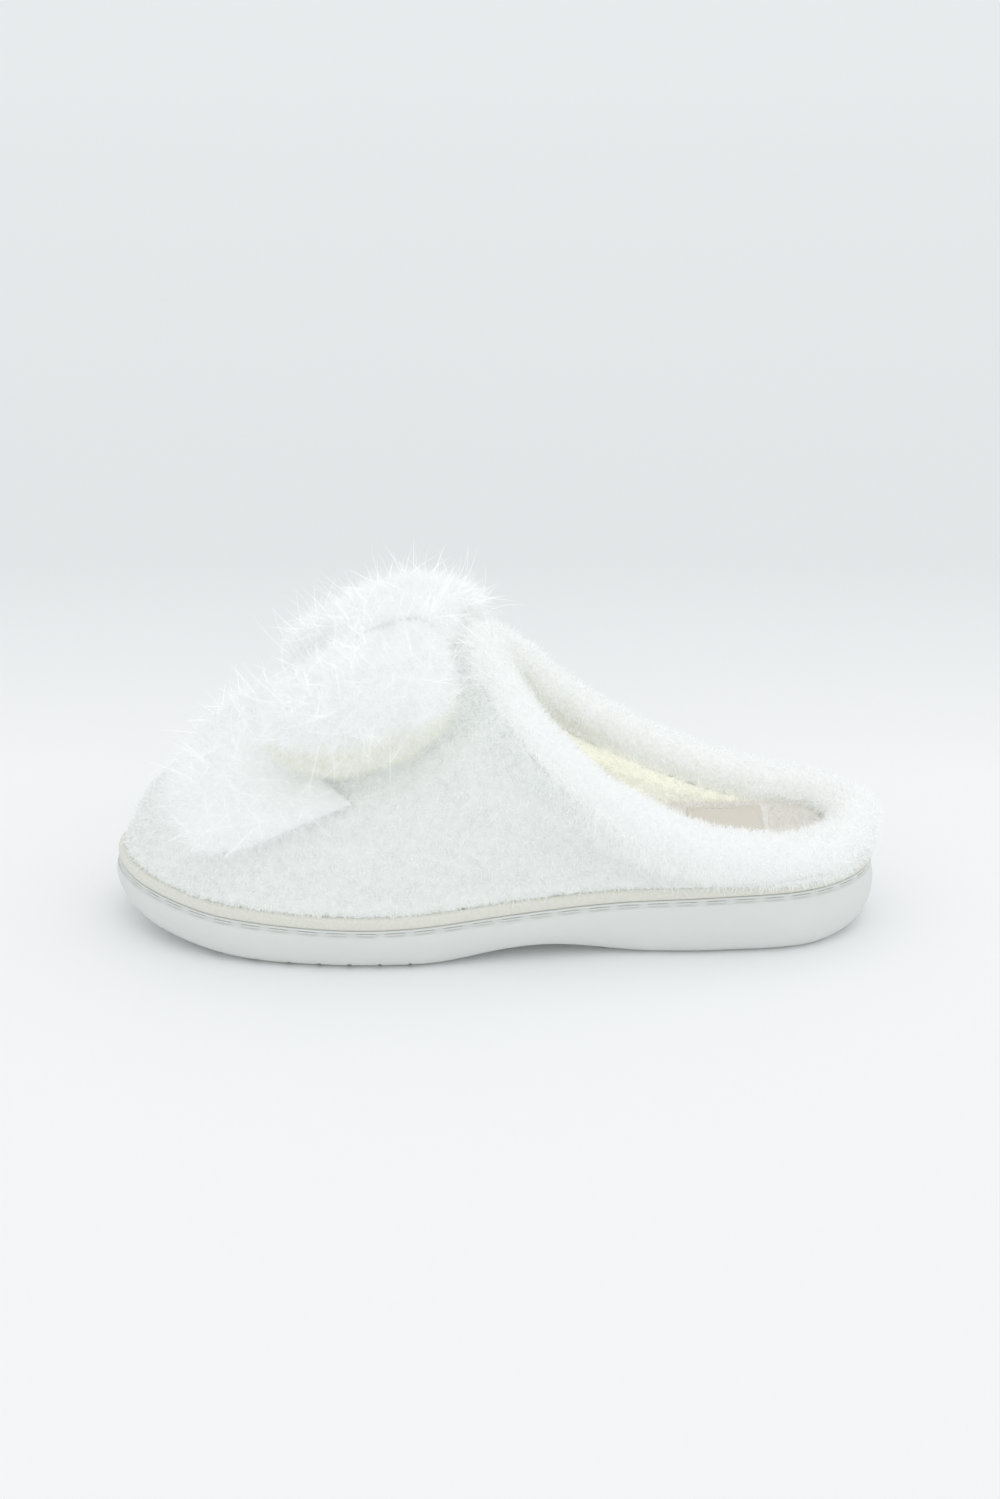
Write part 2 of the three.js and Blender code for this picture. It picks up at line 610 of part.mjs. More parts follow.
const PIECES = {
  outsole: [outsole(), FINISH.sole],
  sole_welt: [weltStrip(), FINISH.welt],
  sidewall_thread: [sidewallThread(), FINISH.thread],
  midsole_foam: [midsole(), FINISH.foam],
  insole_board: [insoleBoard(), FINISH.board],
  lasting_thread: [lastingThread(), FINISH.thread],
  footbed_cushion: [cushion(), FINISH.foam],
  footbed_sock: [sock(), FINISH.sock],
  sock_label: [sockLabel(), FINISH.label],
  upper_shell: [upperShell(), FINISH.plush],
  upper_padding: [upperPadding(), FINISH.foam],
  upper_lining: [upperLining(), FINISH.lining],
  toe_stiffener: [toeStiffener(), FINISH.stiffener],
  collar_cover: [collarCover(), FINISH.plush],
  collar_core: [collarCore(), FINISH.foam],
  bow_knot: [bowKnot(), FINISH.bow],
  bow_bartack: [bowBartack(), FINISH.thread],
};
for (const [name, side] of Object.entries(BOW_SIDE)) {
  PIECES[`bow_loop_${name}`] = [bowLoop(side), FINISH.bow];
  PIECES[`bow_filling_${name}`] = [bowFilling(side), FINISH.filling];
  PIECES[`bow_tail_${name}`] = [bowTail(side), FINISH.bow];
}

const slipper = new THREE.Group();
for (const [name, [geometry, material]] of Object.entries(PIECES)) {
  const mesh = new THREE.Mesh(geometry, material);
  mesh.name = name;
  slipper.add(mesh);
}

// The origin goes to the floor under the middle of the whole slipper.
const box = new THREE.Box3().setFromObject(slipper);
const middle = box.getCenter(new THREE.Vector3());
slipper.children.forEach((mesh) => mesh.position.set(-middle.x, -middle.y, -box.min.z));

export default slipper;
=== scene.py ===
"""Looks of a plush mule slipper with a bow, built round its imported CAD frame.

The file is laid out as an add-on: each operator makes one group of pieces, and the sizes and colours
that a maker would change are properties. Shapes are worked out in millimetres from the toe tip (x),
the middle line (y) and the floor (z), and put_in_frame() turns them into the frame's metres.
"""

import bpy
import numpy as np
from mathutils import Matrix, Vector


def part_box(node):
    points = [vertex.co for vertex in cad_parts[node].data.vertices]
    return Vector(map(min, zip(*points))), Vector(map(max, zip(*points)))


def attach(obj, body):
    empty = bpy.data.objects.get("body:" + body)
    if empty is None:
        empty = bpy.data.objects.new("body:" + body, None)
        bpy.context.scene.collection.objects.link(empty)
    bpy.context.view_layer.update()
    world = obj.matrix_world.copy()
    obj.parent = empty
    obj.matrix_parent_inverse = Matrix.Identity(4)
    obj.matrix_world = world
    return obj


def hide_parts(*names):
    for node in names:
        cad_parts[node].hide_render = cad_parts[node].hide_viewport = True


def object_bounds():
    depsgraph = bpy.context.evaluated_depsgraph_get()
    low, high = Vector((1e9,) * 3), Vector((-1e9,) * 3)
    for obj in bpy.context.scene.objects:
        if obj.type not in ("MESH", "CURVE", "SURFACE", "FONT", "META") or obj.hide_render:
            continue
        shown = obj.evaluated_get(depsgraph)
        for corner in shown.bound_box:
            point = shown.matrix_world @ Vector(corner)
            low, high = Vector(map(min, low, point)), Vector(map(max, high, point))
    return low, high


bl_info = {
    "name": "Plush Bow Slipper",
    "version": (1, 0, 0),
    "blender": (4, 5, 0),
    "location": "View3D > Sidebar > Slipper",
    "description": "Makes a fluffy mule slipper with a stuffed bow, piece by piece",
    "category": "Add Mesh",
}

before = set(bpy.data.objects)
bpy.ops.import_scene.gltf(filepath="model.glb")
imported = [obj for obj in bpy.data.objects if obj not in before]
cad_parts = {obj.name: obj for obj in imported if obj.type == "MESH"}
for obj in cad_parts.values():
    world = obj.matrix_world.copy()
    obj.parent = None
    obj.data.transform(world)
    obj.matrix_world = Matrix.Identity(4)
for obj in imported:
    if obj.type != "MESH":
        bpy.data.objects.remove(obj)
CAD_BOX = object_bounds()

# ---------------------------------------------------------------- sizes shared by the pieces

MM = 0.001
UP = np.array([0, 0, 1.0])
SOLE_LENGTH = 257.0
GAP = 0.4  # between neighbouring parts
# Plan of the sole: (distance from the toe, distance from the middle line), toe first, lateral side first.
OUTLINE = [
    (0, 5), (9, -20), (34, -38), (68, -45.5), (100, -46), (134, -40.5), (166, -36), (202, -35.5),
    (234, -30.5), (251, -17), (257, 0), (251, 17), (234, 30.5), (202, 34.5), (166, 33.5),
    (134, 36), (100, 43), (68, 48), (34, 45), (9, 29),
]
# Height of the seam between cup and welt along the foot.
SEAM_HEIGHT = [(0, 21.5), (36, 16.6), (90, 14.6), (143, 18.2), (200, 21.4), (257, 22.4)]
ARCH = {"start": 103.0, "length": 79.0, "height": 4.0}
TOE_SPRING = {"length": 60.0, "height": 9.0}
HEEL_RISE = {"start": 234.0, "height": 3.5}
CUP_WALL = 3.2
# Side of the cup: shares of the way from the ground to the seam, and how far the tread's edge is rounded in.
CUP_LEVELS = np.array([0, 0.012, 0.04, 0.09, 0.16, 0.24, 0.33, 0.43, 0.53, 0.63, 0.73, 0.81])
CUP_WIDEST = 0.6
TREAD_EDGE = (6.0, 3.6, 1.9, 0.9, 0.35, 0.1)
TREAD = {"pitch": 10.0, "width": 1.5, "depth": 2.1, "wave": 3.0, "wave_length": 24.0, "reach": 60.0}
TREAD_STARTS = [*np.arange(18, 103, TREAD["pitch"]), *np.arange(185, 248, TREAD["pitch"])]
# Section of the channel that holds the stitching: (inset, height from the seam).
CHANNEL = [
    (0.74, -2.6), (0.8, -2.42), (0.95, -2.3), (1.3, -2.1), (1.42, -1.9), (1.42, -1.1), (1.3, -0.9),
    (0.95, -0.7), (0.8, -0.55), (0.78, -0.35), (0.84, -0.12), (1.1, 0), (3.2, 0),
]
STITCH = {"height": -1.42, "depth": 1.08, "dive": 1.3, "radius": 0.33, "twists": 3.2}
SEAM_INSET = 0.8
WELT_WIDTH = 3.8
WELT_HEIGHT = 4.0
WALL = 9.9  # thickness of the padded upper
WALL_INSET = 5.5 + WALL / 2
SHELL_INSIDE = WALL / 2 - 2.8
LINING_OUTSIDE = -WALL / 2 + 2.4
FOOTBED_INSET = WALL_INSET + WALL / 2 + 2 * GAP
CUSHION = 5.0
SOCK = 4.0
HEEL_STUFFING = 3.2
COLLAR_RADIUS = 8.0
COLLAR_PRESS = 2.6
# Axis of the collar roll, from the throat round the lateral side to the heel and back.
TOPLINE = [
    (124.5, 1, 92.5), (128, -14, 90), (136, -23.5, 81.5), (147.5, -29.5, 69.5), (163, -32, 58),
    (181, -32.5, 48), (201, -31.5, 40), (222, -28, 35.8), (240, -19, 35.5), (249.5, 0, 36.5),
    (240, 19, 35.5), (222, 27.5, 35.8), (201, 31, 40), (181, 32, 48), (163, 31.5, 58),
    (147.5, 29.5, 69.5), (136, 25, 81.5), (128, 15, 90),
]
TOPLINE_LAG = 1.45
BOW_TILT = np.radians(17)
KNOT = {"x": 97.0, "z": 105.0, "length": 35.0, "width": 26.0, "height": 27.0}
# Sections of a bow loop: distance from the middle line, middle x and z, length and height.
LOOP_SECTIONS = np.array([
    (0.6, 97, 105, 22, 14), (14, 96.7, 104.6, 23, 15), (19, 93, 101.5, 37, 21),
    (27, 88.5, 99, 54, 25), (35, 86, 97.5, 60, 26.5), (42, 85, 96, 57, 25.5),
    (48, 85, 94.5, 44, 19), (51, 85, 93.5, 21, 9),
], float)
MEDIAL_LOOP_SWING = 6.0
# How much the loops sag away from the knot, on the lateral and the medial side.
LOOP_SAG = {-1: {"length": -2.0, "height": 5.0, "drop": 9.0}, 1: {"length": 7.0, "height": 2.0, "drop": 10.5}}
LOOP_END = 42.0
FUR_DEPTH = 1.0
# Corners of a tail on the upper: (ring point counted from the toe, share of the way up the wall).
TAIL_ROOT = [(0.7, 0.7), (7.8, 0.5)]
TAIL_TIP = [(1.6, 0.36), (5.1, 0.18)]
TAIL_DROOP = 0.06
TAIL_THICKNESS = 5.5
TAIL_LIFT = WALL / 2 + 1.5
CAD_RING = 48
SIDES = {"lateral": -1, "medial": 1}
LABEL = {"start": 194.0, "end": 219.0, "width": 21.0, "thickness": 0.6, "stitch_inset": 1.3, "stitches": 36}
# The room that the tinsel may fill: its top, bottom, foremost and widest.
TINSEL_ROOM = {"top": 131, "bottom": 24, "front": -8, "side": 62}
CAMERA = {"place": (0.0017, -1.0625, 0.5006), "tilt": 67.5, "lens": 82.44, "sensor": 36.0}


def unit(v):
    """Vectors scaled to length one: each divided by its own length."""
    return v / np.maximum(np.linalg.norm(v, axis=-1, keepdims=True), 1e-12)


def smooth(t):
    """The soft step: 3t squared less 2t cubed, with t held between 0 and 1."""
    t = np.clip(t, 0, 1)
    return t * t * (3 - 2 * t)


def squarish(value, power):
    """A sine or cosine made squarer: its size raised to a power below one, with its sign kept."""
    return np.sign(value) * np.abs(value) ** power


def full_turn(count):
    """Angles of count points spread evenly round a circle."""
    return np.arange(count) / count * 2 * np.pi


def rounded_loop(points, shares):
    """A closed smooth line through the points: between two of them a cubic whose end slopes come from
    the neighbours, weighted by the square roots of the distances (a centripetal spline)."""
    p = np.asarray(points, float)
    at = shares * len(p)
    i = np.floor(at).astype(int)
    w = (at - i)[:, None]
    a, b, c, d = (p[(i + k) % len(p)] for k in (-1, 0, 1, 2))
    ab, bc, cd = (np.sqrt(np.linalg.norm(v - u, axis=1))[:, None] for u, v in ((a, b), (b, c), (c, d)))
    start = bc * ((b - a) / ab - (c - a) / (ab + bc) + (c - b) / bc)
    end = bc * ((c - b) / bc - (d - b) / (bc + cd) + (d - c) / cd)
    return b + w * start + w**2 * (3 * (c - b) - 2 * start - end) + w**3 * (2 * (b - c) + start + end)


def along(points, x):
    """Height of a smooth line through (x, height) points: between two of them a cubic whose slope at each
    is half the rise between its two neighbours, held level past the ends."""
    p = np.asarray(points, float)
    i = np.clip(np.searchsorted(p[:, 0], x, side="right") - 1, 0, len(p) - 2)
    t = np.clip((x - p[i, 0]) / (p[i + 1, 0] - p[i, 0]), 0, 1)
    a, b, c, d = (p[np.clip(i + k, 0, len(p) - 1), 1] for k in (-1, 0, 1, 2))
    return b + 0.5 * t * (c - a + t * (2 * a - 5 * b + 4 * c - d + t * (3 * (b - c) + d - a)))


def seam(x):
    """Height of the seam between cup and welt."""
    return along(SEAM_HEIGHT, x)


def ground(x):
    """Height of the underside: a squared rise to the toe, a sine-squared arch, a squared heel rise."""
    arch = np.sin(np.pi * np.clip((x - ARCH["start"]) / ARCH["length"], 0, 1)) ** 2
    toe = np.maximum(0, 1 - x / TOE_SPRING["length"]) ** 2
    heel = np.maximum(0, (x - HEEL_RISE["start"]) / (SOLE_LENGTH - HEEL_RISE["start"])) ** 2
    return TOE_SPRING["height"] * toe + ARCH["height"] * arch + HEEL_RISE["height"] * heel


def above(rise):
    """The height of the seam plus a rise, as a function of x."""
    return lambda x: seam(x) + rise


def board_top(x):
    """Top of the insole board, where the foot of the upper stands."""
    return seam(x) - 0.5


def footbed_top(x):
    """Top of the plush footbed: cushion and sock on the seam, stuffed fuller under the heel."""
    return seam(x) + CUSHION + GAP + SOCK + HEEL_STUFFING * smooth((x - 130) / 40)


def measured(line):
    """Length along a line of points, from its first point to each one."""
    return np.concatenate([[0], np.cumsum(np.linalg.norm(np.diff(line, axis=0), axis=1))])


def pick(line, lengths, at):
    """Points of a line at given lengths along it."""
    return np.stack([np.interp(at, lengths, line[:, k]) for k in range(line.shape[1])], -1)


FINE = np.linspace(0, 1, 6001)
PLAN_LINE = rounded_loop(OUTLINE, FINE % 1)
PLAN_LENGTHS = measured(PLAN_LINE)
HEEL_LENGTH = PLAN_LENGTHS[3000]
TOP_LINE = rounded_loop(TOPLINE, FINE % 1)
TOP_LENGTHS = measured(TOP_LINE)


def plan(share):
    """Outline point at a share round the foot: 0 is the toe, 0.5 the heel, each side by its own length."""
    share = share % 1
    second = HEEL_LENGTH + (2 * share - 1) * (PLAN_LENGTHS[-1] - HEEL_LENGTH)
    return pick(PLAN_LINE, PLAN_LENGTHS, np.where(share <= 0.5, 2 * share * HEEL_LENGTH, second))


def outward(share):
    """Level direction away from the foot: the outline's own direction turned a quarter."""
    t = plan(share + 0.006) - plan(share - 0.006)
    return unit(np.stack([-t[:, 1], t[:, 0]], -1)) * -1


def ring(share, inset, height_at):
    """The outline moved in by inset, at the height that height_at gives for its x."""
    flat = plan(share) - outward(share) * np.asarray(inset)[..., None]
    return np.concatenate([flat, height_at(flat[:, 0])[:, None]], -1)


def topline(share):
    """Collar axis at a share round the foot, lagging near the throat: half of twice the share raised to
    the power of TOPLINE_LAG."""
    share = share % 1
    half = np.where(share <= 0.5, share, 1 - share)
    lagged = 0.5 * (2 * half) ** TOPLINE_LAG
    return pick(TOP_LINE, TOP_LENGTHS, TOP_LENGTHS[-1] * np.where(share <= 0.5, lagged, 1 - lagged))


class Wall:
    """The upper's middle surface on a ring of lines. Each line is a cubic curve from the sole edge to
    the collar, and a layer lies off it along the surface's own normal, which is level at the sole."""

    def __init__(self, count=640):
        self.share = np.arange(count) / count
        self.out = np.concatenate([outward(self.share), np.zeros((count, 1))], -1)
        foot = ring(self.share, WALL_INSET, lambda x: board_top(x) + GAP)
        top = topline(self.share)
        rise = (top - foot)[:, 2:]
        across = (top - foot) * (1, 1, 0)
        span = np.linalg.norm(across, axis=1, keepdims=True)
        lower = foot + self.out * 0.05 * rise + (0, 0, 0.47) * rise
        upper = top - 0.48 * across
        upper[:, 2:] -= np.maximum(0.17 * span, 0.3 * rise * (1 - smooth(span / 40)))
        self.ends = foot, lower, upper, top
        self.top = top

    def middle(self, t):
        """Point at share t of each line: the cubic curve through its four ends' weights."""
        a, b, c, d = self.ends
        t = t[:, None]
        return (1 - t) ** 3 * a + 3 * (1 - t) ** 2 * t * b + 3 * (1 - t) * t**2 * c + t**3 * d

    def normal(self, t):
        """Direction out of the surface: the cross product of the way round and the way up, turned level
        towards the sole."""
        a, b, c, d = self.ends
        u = t[:, None]
        upward = (1 - u) ** 2 * (b - a) + 2 * (1 - u) * u * (c - b) + u**2 * (d - c)
        step = 8
        sideways = [np.roll(e, -step, 0) - np.roll(e, step, 0) for e in self.ends]
        a, b, c, d = sideways
        round_foot = (1 - u) ** 3 * a + 3 * (1 - u) ** 2 * u * b + 3 * (1 - u) * u**2 * c + u**3 * d
        n = unit(np.cross(round_foot, upward))
        facing = np.sign((n * self.out).sum(1) + n[:, 2])
        n *= np.where(facing == 0, 1, facing)[:, None]
        level = smooth(u / 0.3)
        return unit(self.out * (1 - level) + n * level)

    def off(self, t, away):
        """Point at a distance from the middle surface, kept on the board at the foot."""
        on_line = self.middle(t)
        p = on_line + self.normal(t) * away
        p[:, 2] += (1 - smooth(t / 0.3)) * (board_top(p[:, 0]) - board_top(on_line[:, 0]))
        return p

    def end(self, away, clear=COLLAR_RADIUS + GAP):
        """Share of each line where a layer meets the collar, found by halving."""
        near = np.stack([np.roll(self.top, k, 0) for k in range(-26, 27, 2)])
        low, high = np.zeros(len(self.share)), np.ones(len(self.share))
        for _ in range(20):
            t = (low + high) / 2
            far = np.linalg.norm(near - self.off(t, away), axis=2).min(0) > clear
            low, high = np.where(far, t, low), np.where(far, high, t)
        return low

    def layer(self, away, rows, clear=COLLAR_RADIUS + GAP):
        """Rows of points from the sole to the collar, all the way round."""
        end = self.end(away, clear)
        return np.stack([self.off(v * end, away) for v in rows])


WALL_LINES = Wall()

# The frame's place of the toe tip on the floor, in metres.
LOWEST_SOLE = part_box("outsole")[0]
KNOT_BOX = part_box("bow_knot")
ORIGIN = np.array([
    LOWEST_SOLE.x - PLAN_LINE[:, 0].min() * MM,
    (KNOT_BOX[0].y + KNOT_BOX[1].y) / 2,
    LOWEST_SOLE.z,
])


def put_in_frame(points):
    """Millimetres from the toe tip as metres in the frame."""
    return points * MM + ORIGIN


# ---------------------------------------------------------------- uneven surfaces


CELL_PRIMES = (73856093, 19349663, 83492791)
SEED_PRIME = 2654435761
MIXERS = ((0, 2246822519), (15, 3266489917), (13, 668265263))
WORD, SHORT = 0xFFFFFFFF, 0xFFFFFF


def hashed(cells, seed):
    """A number from 0 to 1 for each whole cell: its coordinates times primes, mixed by products and shifts."""
    c = cells.astype(np.int64)
    x, y, z = (c[..., k] * prime for k, prime in enumerate(CELL_PRIMES))
    n = (x ^ y ^ z ^ (seed * SEED_PRIME)) & WORD
    for shift, prime in MIXERS:
        n = ((n ^ (n >> shift) if shift else n) * prime) & WORD
    return ((n ^ (n >> 16)) & SHORT) / float(SHORT)


def cloudy(points, size, seed):
    """Soft noise from -1 to 1: the cell corners' numbers, mixed with soft steps in each direction."""
    p = points / size
    cell = np.floor(p)
    w = smooth(p - cell)
    total = 0
    for corner in np.ndindex(2, 2, 2):
        share = np.prod(np.where(corner, w, 1 - w), axis=-1)
        total = total + share * hashed(cell + corner, seed)
    return 2 * total - 1


def knobbly(points, size, seed):
    """Round lumps from 0 to 1: one less the squared distance to the nearest of the scattered lumps."""
    p = points / size
    cell = np.floor(p)
    nearest = np.full(p.shape[:-1], 9.0)
    for shift in np.ndindex(3, 3, 3):
        c = cell + shift - 1
        place = c + np.stack([hashed(c, seed + k) for k in range(3)], -1)
        nearest = np.minimum(nearest, ((p - place) ** 2).sum(-1))
    return np.clip(1 - nearest, 0, 1)


def grid_normals(points):
    """Normals of a grid that closes on itself round each row: cross product of its two directions."""
    down = np.gradient(points, axis=0)
    round_ = np.roll(points, -1, 1) - np.roll(points, 1, 1)
    return unit(np.cross(round_, down))


# ---------------------------------------------------------------- meshes


def bands(rows, columns, loop=False):
    """Quads between neighbouring rings of a stack, and from the last to the first if it's a loop."""
    r, c = np.meshgrid(np.arange(rows if loop else rows - 1), np.arange(columns), indexing="ij")
    n, d = (r + 1) % rows, (c + 1) % columns
    return np.stack([r * columns + c, r * columns + d, n * columns + d, n * columns + c], -1).reshape(-1, 4)


def sheet_faces(rows, columns):
    """Quads of an open grid."""
    r, c = np.meshgrid(np.arange(rows - 1), np.arange(columns - 1), indexing="ij")
    a = r * columns + c
    return np.stack([a, a + 1, a + columns + 1, a + columns], -1).reshape(-1, 4)


def lid(start, size):
    """Quads across a ring, between the points that face each other, with a triangle at each end."""
    i = np.arange(size // 2)
    return np.stack([start + i, start + i + 1, start + (size - i - 1) % size, start + (size - i) % size], -1)


def cap(start, size, centre):
    """Triangles from a ring to its middle point, as quads that repeat a corner."""
    i = np.arange(size)
    return np.stack([start + i, start + (i + 1) % size, np.full(size, centre), np.full(size, centre)], -1)


def slab(top, under):
    """Points and quads between two grids: both faces and the rim that joins their borders."""
    rows, columns = top.shape[:2]
    count = rows * columns
    face = sheet_faces(rows, columns)
    rim = np.concatenate([
        np.arange(columns), np.arange(1, rows) * columns + columns - 1,
        (rows - 1) * columns + np.arange(columns - 2, -1, -1), np.arange(rows - 2, 0, -1) * columns,
    ])
    after = np.roll(rim, -1)
    sides = np.stack([rim, after, after + count, rim + count], -1)[:, ::-1]
    points = np.concatenate([top.reshape(-1, 3), under.reshape(-1, 3)])
    return points, np.concatenate([face, face[:, ::-1] + count, sides])


def stitch_tubes(line, side, radius, turn):
    """Closed tubes along many short lines: line + radius * (cosine of the turn sideways + its sine up)."""
    around = np.cos(turn)[..., None] * side + np.sin(turn)[..., None] * UP
    points = line[:, :, None] + radius[..., None] * around
    count, steps, size = points.shape[:3]
    one = np.concatenate([bands(steps, size), lid(0, size)[:, ::-1], lid(size * (steps - 1), size)])
    quads = np.arange(count)[:, None, None] * steps * size + one
    return points.reshape(-1, 3), quads.reshape(-1, 4)


def outward_facing(points, quads):
    """The quads, turned over if the volume inside them comes out negative."""
    a, b, c, d = (points[quads[:, k]] for k in range(4))
    volume = (a * np.cross(b, c)).sum() + (a * np.cross(c, d)).sum()
    return quads[:, ::-1] if volume < 0 else quads


def mesh_of(name, points, quads, uv=None):
    """A mesh from points in millimetres and quads; a quad that repeats a corner is a triangle."""
    mesh = bpy.data.meshes.new(name)
    keep = np.ones(quads.shape, bool)
    keep[:, 1:] = quads[:, 1:] != quads[:, :-1]
    keep[:, 0] = quads[:, 0] != quads[:, 3]
    corners = keep.sum(1)
    mesh.vertices.add(len(points))
    mesh.vertices.foreach_set("co", put_in_frame(points).astype(np.float32).ravel())
    mesh.loops.add(int(corners.sum()))
    mesh.loops.foreach_set("vertex_index", quads[keep].astype(np.int32))
    mesh.polygons.add(len(quads))
    starts = np.concatenate([[0], np.cumsum(corners)[:-1]])
    mesh.polygons.foreach_set("loop_start", starts.astype(np.int32))
    mesh.polygons.foreach_set("use_smooth", np.ones(len(quads), bool))
    mesh.update(calc_edges=True)
    if uv is not None:
        layer = mesh.uv_layers.new(name="OFBake")
        layer.uv.foreach_set("vector", uv[keep].astype(np.float32).ravel())
    mesh.validate()
    return mesh


def piece_of(name, mesh, material, slot, *nodes):
    """The finished object: it rides on the slipper, takes the finish given and stands for the nodes. The slot
    is not used.
    """
    piece = bpy.data.objects.new(name, mesh)
    bpy.context.scene.collection.objects.link(piece)
    piece.data.materials.clear()
    piece.data.materials.append(material)
    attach(piece, "root")
    if nodes:
        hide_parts(*nodes)
    return piece


def surface_piece(name, points, quads, material, slot, *nodes):
    """A closed surface as a piece, facing out."""
    return piece_of(name, mesh_of(name, points, outward_facing(points, quads)), material, slot, *nodes)


def read_back(piece):
    """Points (millimetres from the toe tip), normals and triangles of a finished piece."""
    mesh = piece.data
    mesh.calc_loop_triangles()
    co = np.empty(len(mesh.vertices) * 3, np.float32)
    no = np.empty(len(mesh.vertices) * 3, np.float32)
    tri = np.empty(len(mesh.loop_triangles) * 3, np.int32)
    mesh.vertices.foreach_get("co", co)
    mesh.vertex_normals.foreach_get("vector", no)
    mesh.loop_triangles.foreach_get("vertices", tri)
    points = (co.reshape(-1, 3).astype(float) - ORIGIN) / MM
    return points, no.reshape(-1, 3).astype(float), tri.reshape(-1, 3)


def scatter(points, normals, triangles, count, rng):
    """Roots spread evenly over triangles: each picked with a chance that follows its area, then at a
    random place inside it. Gives the roots and the normals there."""
    a, b, c = (points[triangles[:, k]] for k in range(3))
    area = np.linalg.norm(np.cross(b - a, c - a), axis=1)
    chosen = np.searchsorted(np.cumsum(area) / area.sum(), rng.random(count))
    chosen = np.minimum(chosen, len(area) - 1)
    u, v = rng.random((2, count))
    over = u + v > 1
    u, v = np.where(over, 1 - u, u)[:, None], np.where(over, 1 - v, v)[:, None]
    first, second, third = triangles[chosen].T
    mix = lambda f: (1 - u - v) * f[first] + u * f[second] + v * f[third]
    return mix(points), unit(mix(normals))


def fibres(roots, normals, rng, length, width, lean, curl, comb=(0, 0, 0), steps=3, sink=0.3):
    """Flat fibres, one row of points each. A spine is a piece of a circle: root + length * (sin(ct)/c up
    + (1 - cos(ct))/c sideways) for t from 0 to 1, where c is its own turn; it leans at random and is
    pulled along comb with t squared. Its width shrinks to nothing at the tip."""
    n = len(roots)
    up = unit(normals + lean * rng.normal(size=(n, 3)))
    side = unit(np.cross(up, rng.normal(size=(n, 3))))
    broad = np.cross(up, side)
    turn = (curl * rng.uniform(0.5, 1.5, n))[:, None, None]
    long_ = (length * np.ones(n) * rng.uniform(0.65, 1.3, n))[:, None, None]
    t = np.linspace(0, 1, steps + 1)[None, :, None]
    spine = (roots - normals * sink)[:, None] + long_ * (
        np.sin(turn * t) / turn * up[:, None] + (1 - np.cos(turn * t)) / turn * side[:, None]
    )
    spine = spine + long_ * t**2 * np.broadcast_to(np.asarray(comb, float), (n, 3))[:, None]
    half = 0.5 * width * (1 - t[:, :-1] ** 3) * broad[:, None]
    edges = np.stack([spine[:, :-1] - half, spine[:, :-1] + half], 2)
    return np.concatenate([edges.reshape(n, -1, 3), spine[:, -1:]], 1)


def fibre_piece(name, bundles, material, slot):
    """Bundles of fibres as one piece. Each fibre has a cell of its own in the UV map."""
    across = int(np.ceil(np.sqrt(sum(len(b) for b in bundles))))
    points, quads, uv, first, made = [], [], [], 0, 0
    for bundle in bundles:
        n, size, _ = bundle.shape
        steps = (size - 1) // 2
        one = [[2 * k, 2 * k + 1, 2 * k + 3, 2 * k + 2] for k in range(steps - 1)]
        one = np.array([*one, [2 * steps - 2, 2 * steps - 1, 2 * steps, 2 * steps]])
        points.append(bundle.reshape(-1, 3))
        quads.append((first + np.arange(n)[:, None, None] * size + one).reshape(-1, 4))
        index = made + np.arange(n)
        corner = np.stack([index % across, index // across], -1)
        # Inside its cell a fibre stands upright, two points wide, with its tip in the middle.
        place = [(0.12 + 0.76 * (k % 2), 0.06 + 0.88 * (k // 2) / steps) for k in range(size - 1)]
        place = np.array([*place, (0.5, 0.94)])
        uv.append(((corner[:, None] + place)[:, one] / across).reshape(-1, 4, 2))
        first += n * size
        made += n
    mesh = mesh_of(name, np.concatenate(points), np.concatenate(quads), np.concatenate(uv))
    return piece_of(name, mesh, material, slot)


def split(quads):
    """Each quad as two triangles."""
    return np.concatenate([quads[:, [0, 1, 2]], quads[:, [0, 2, 3]]])


# ---------------------------------------------------------------- finishes


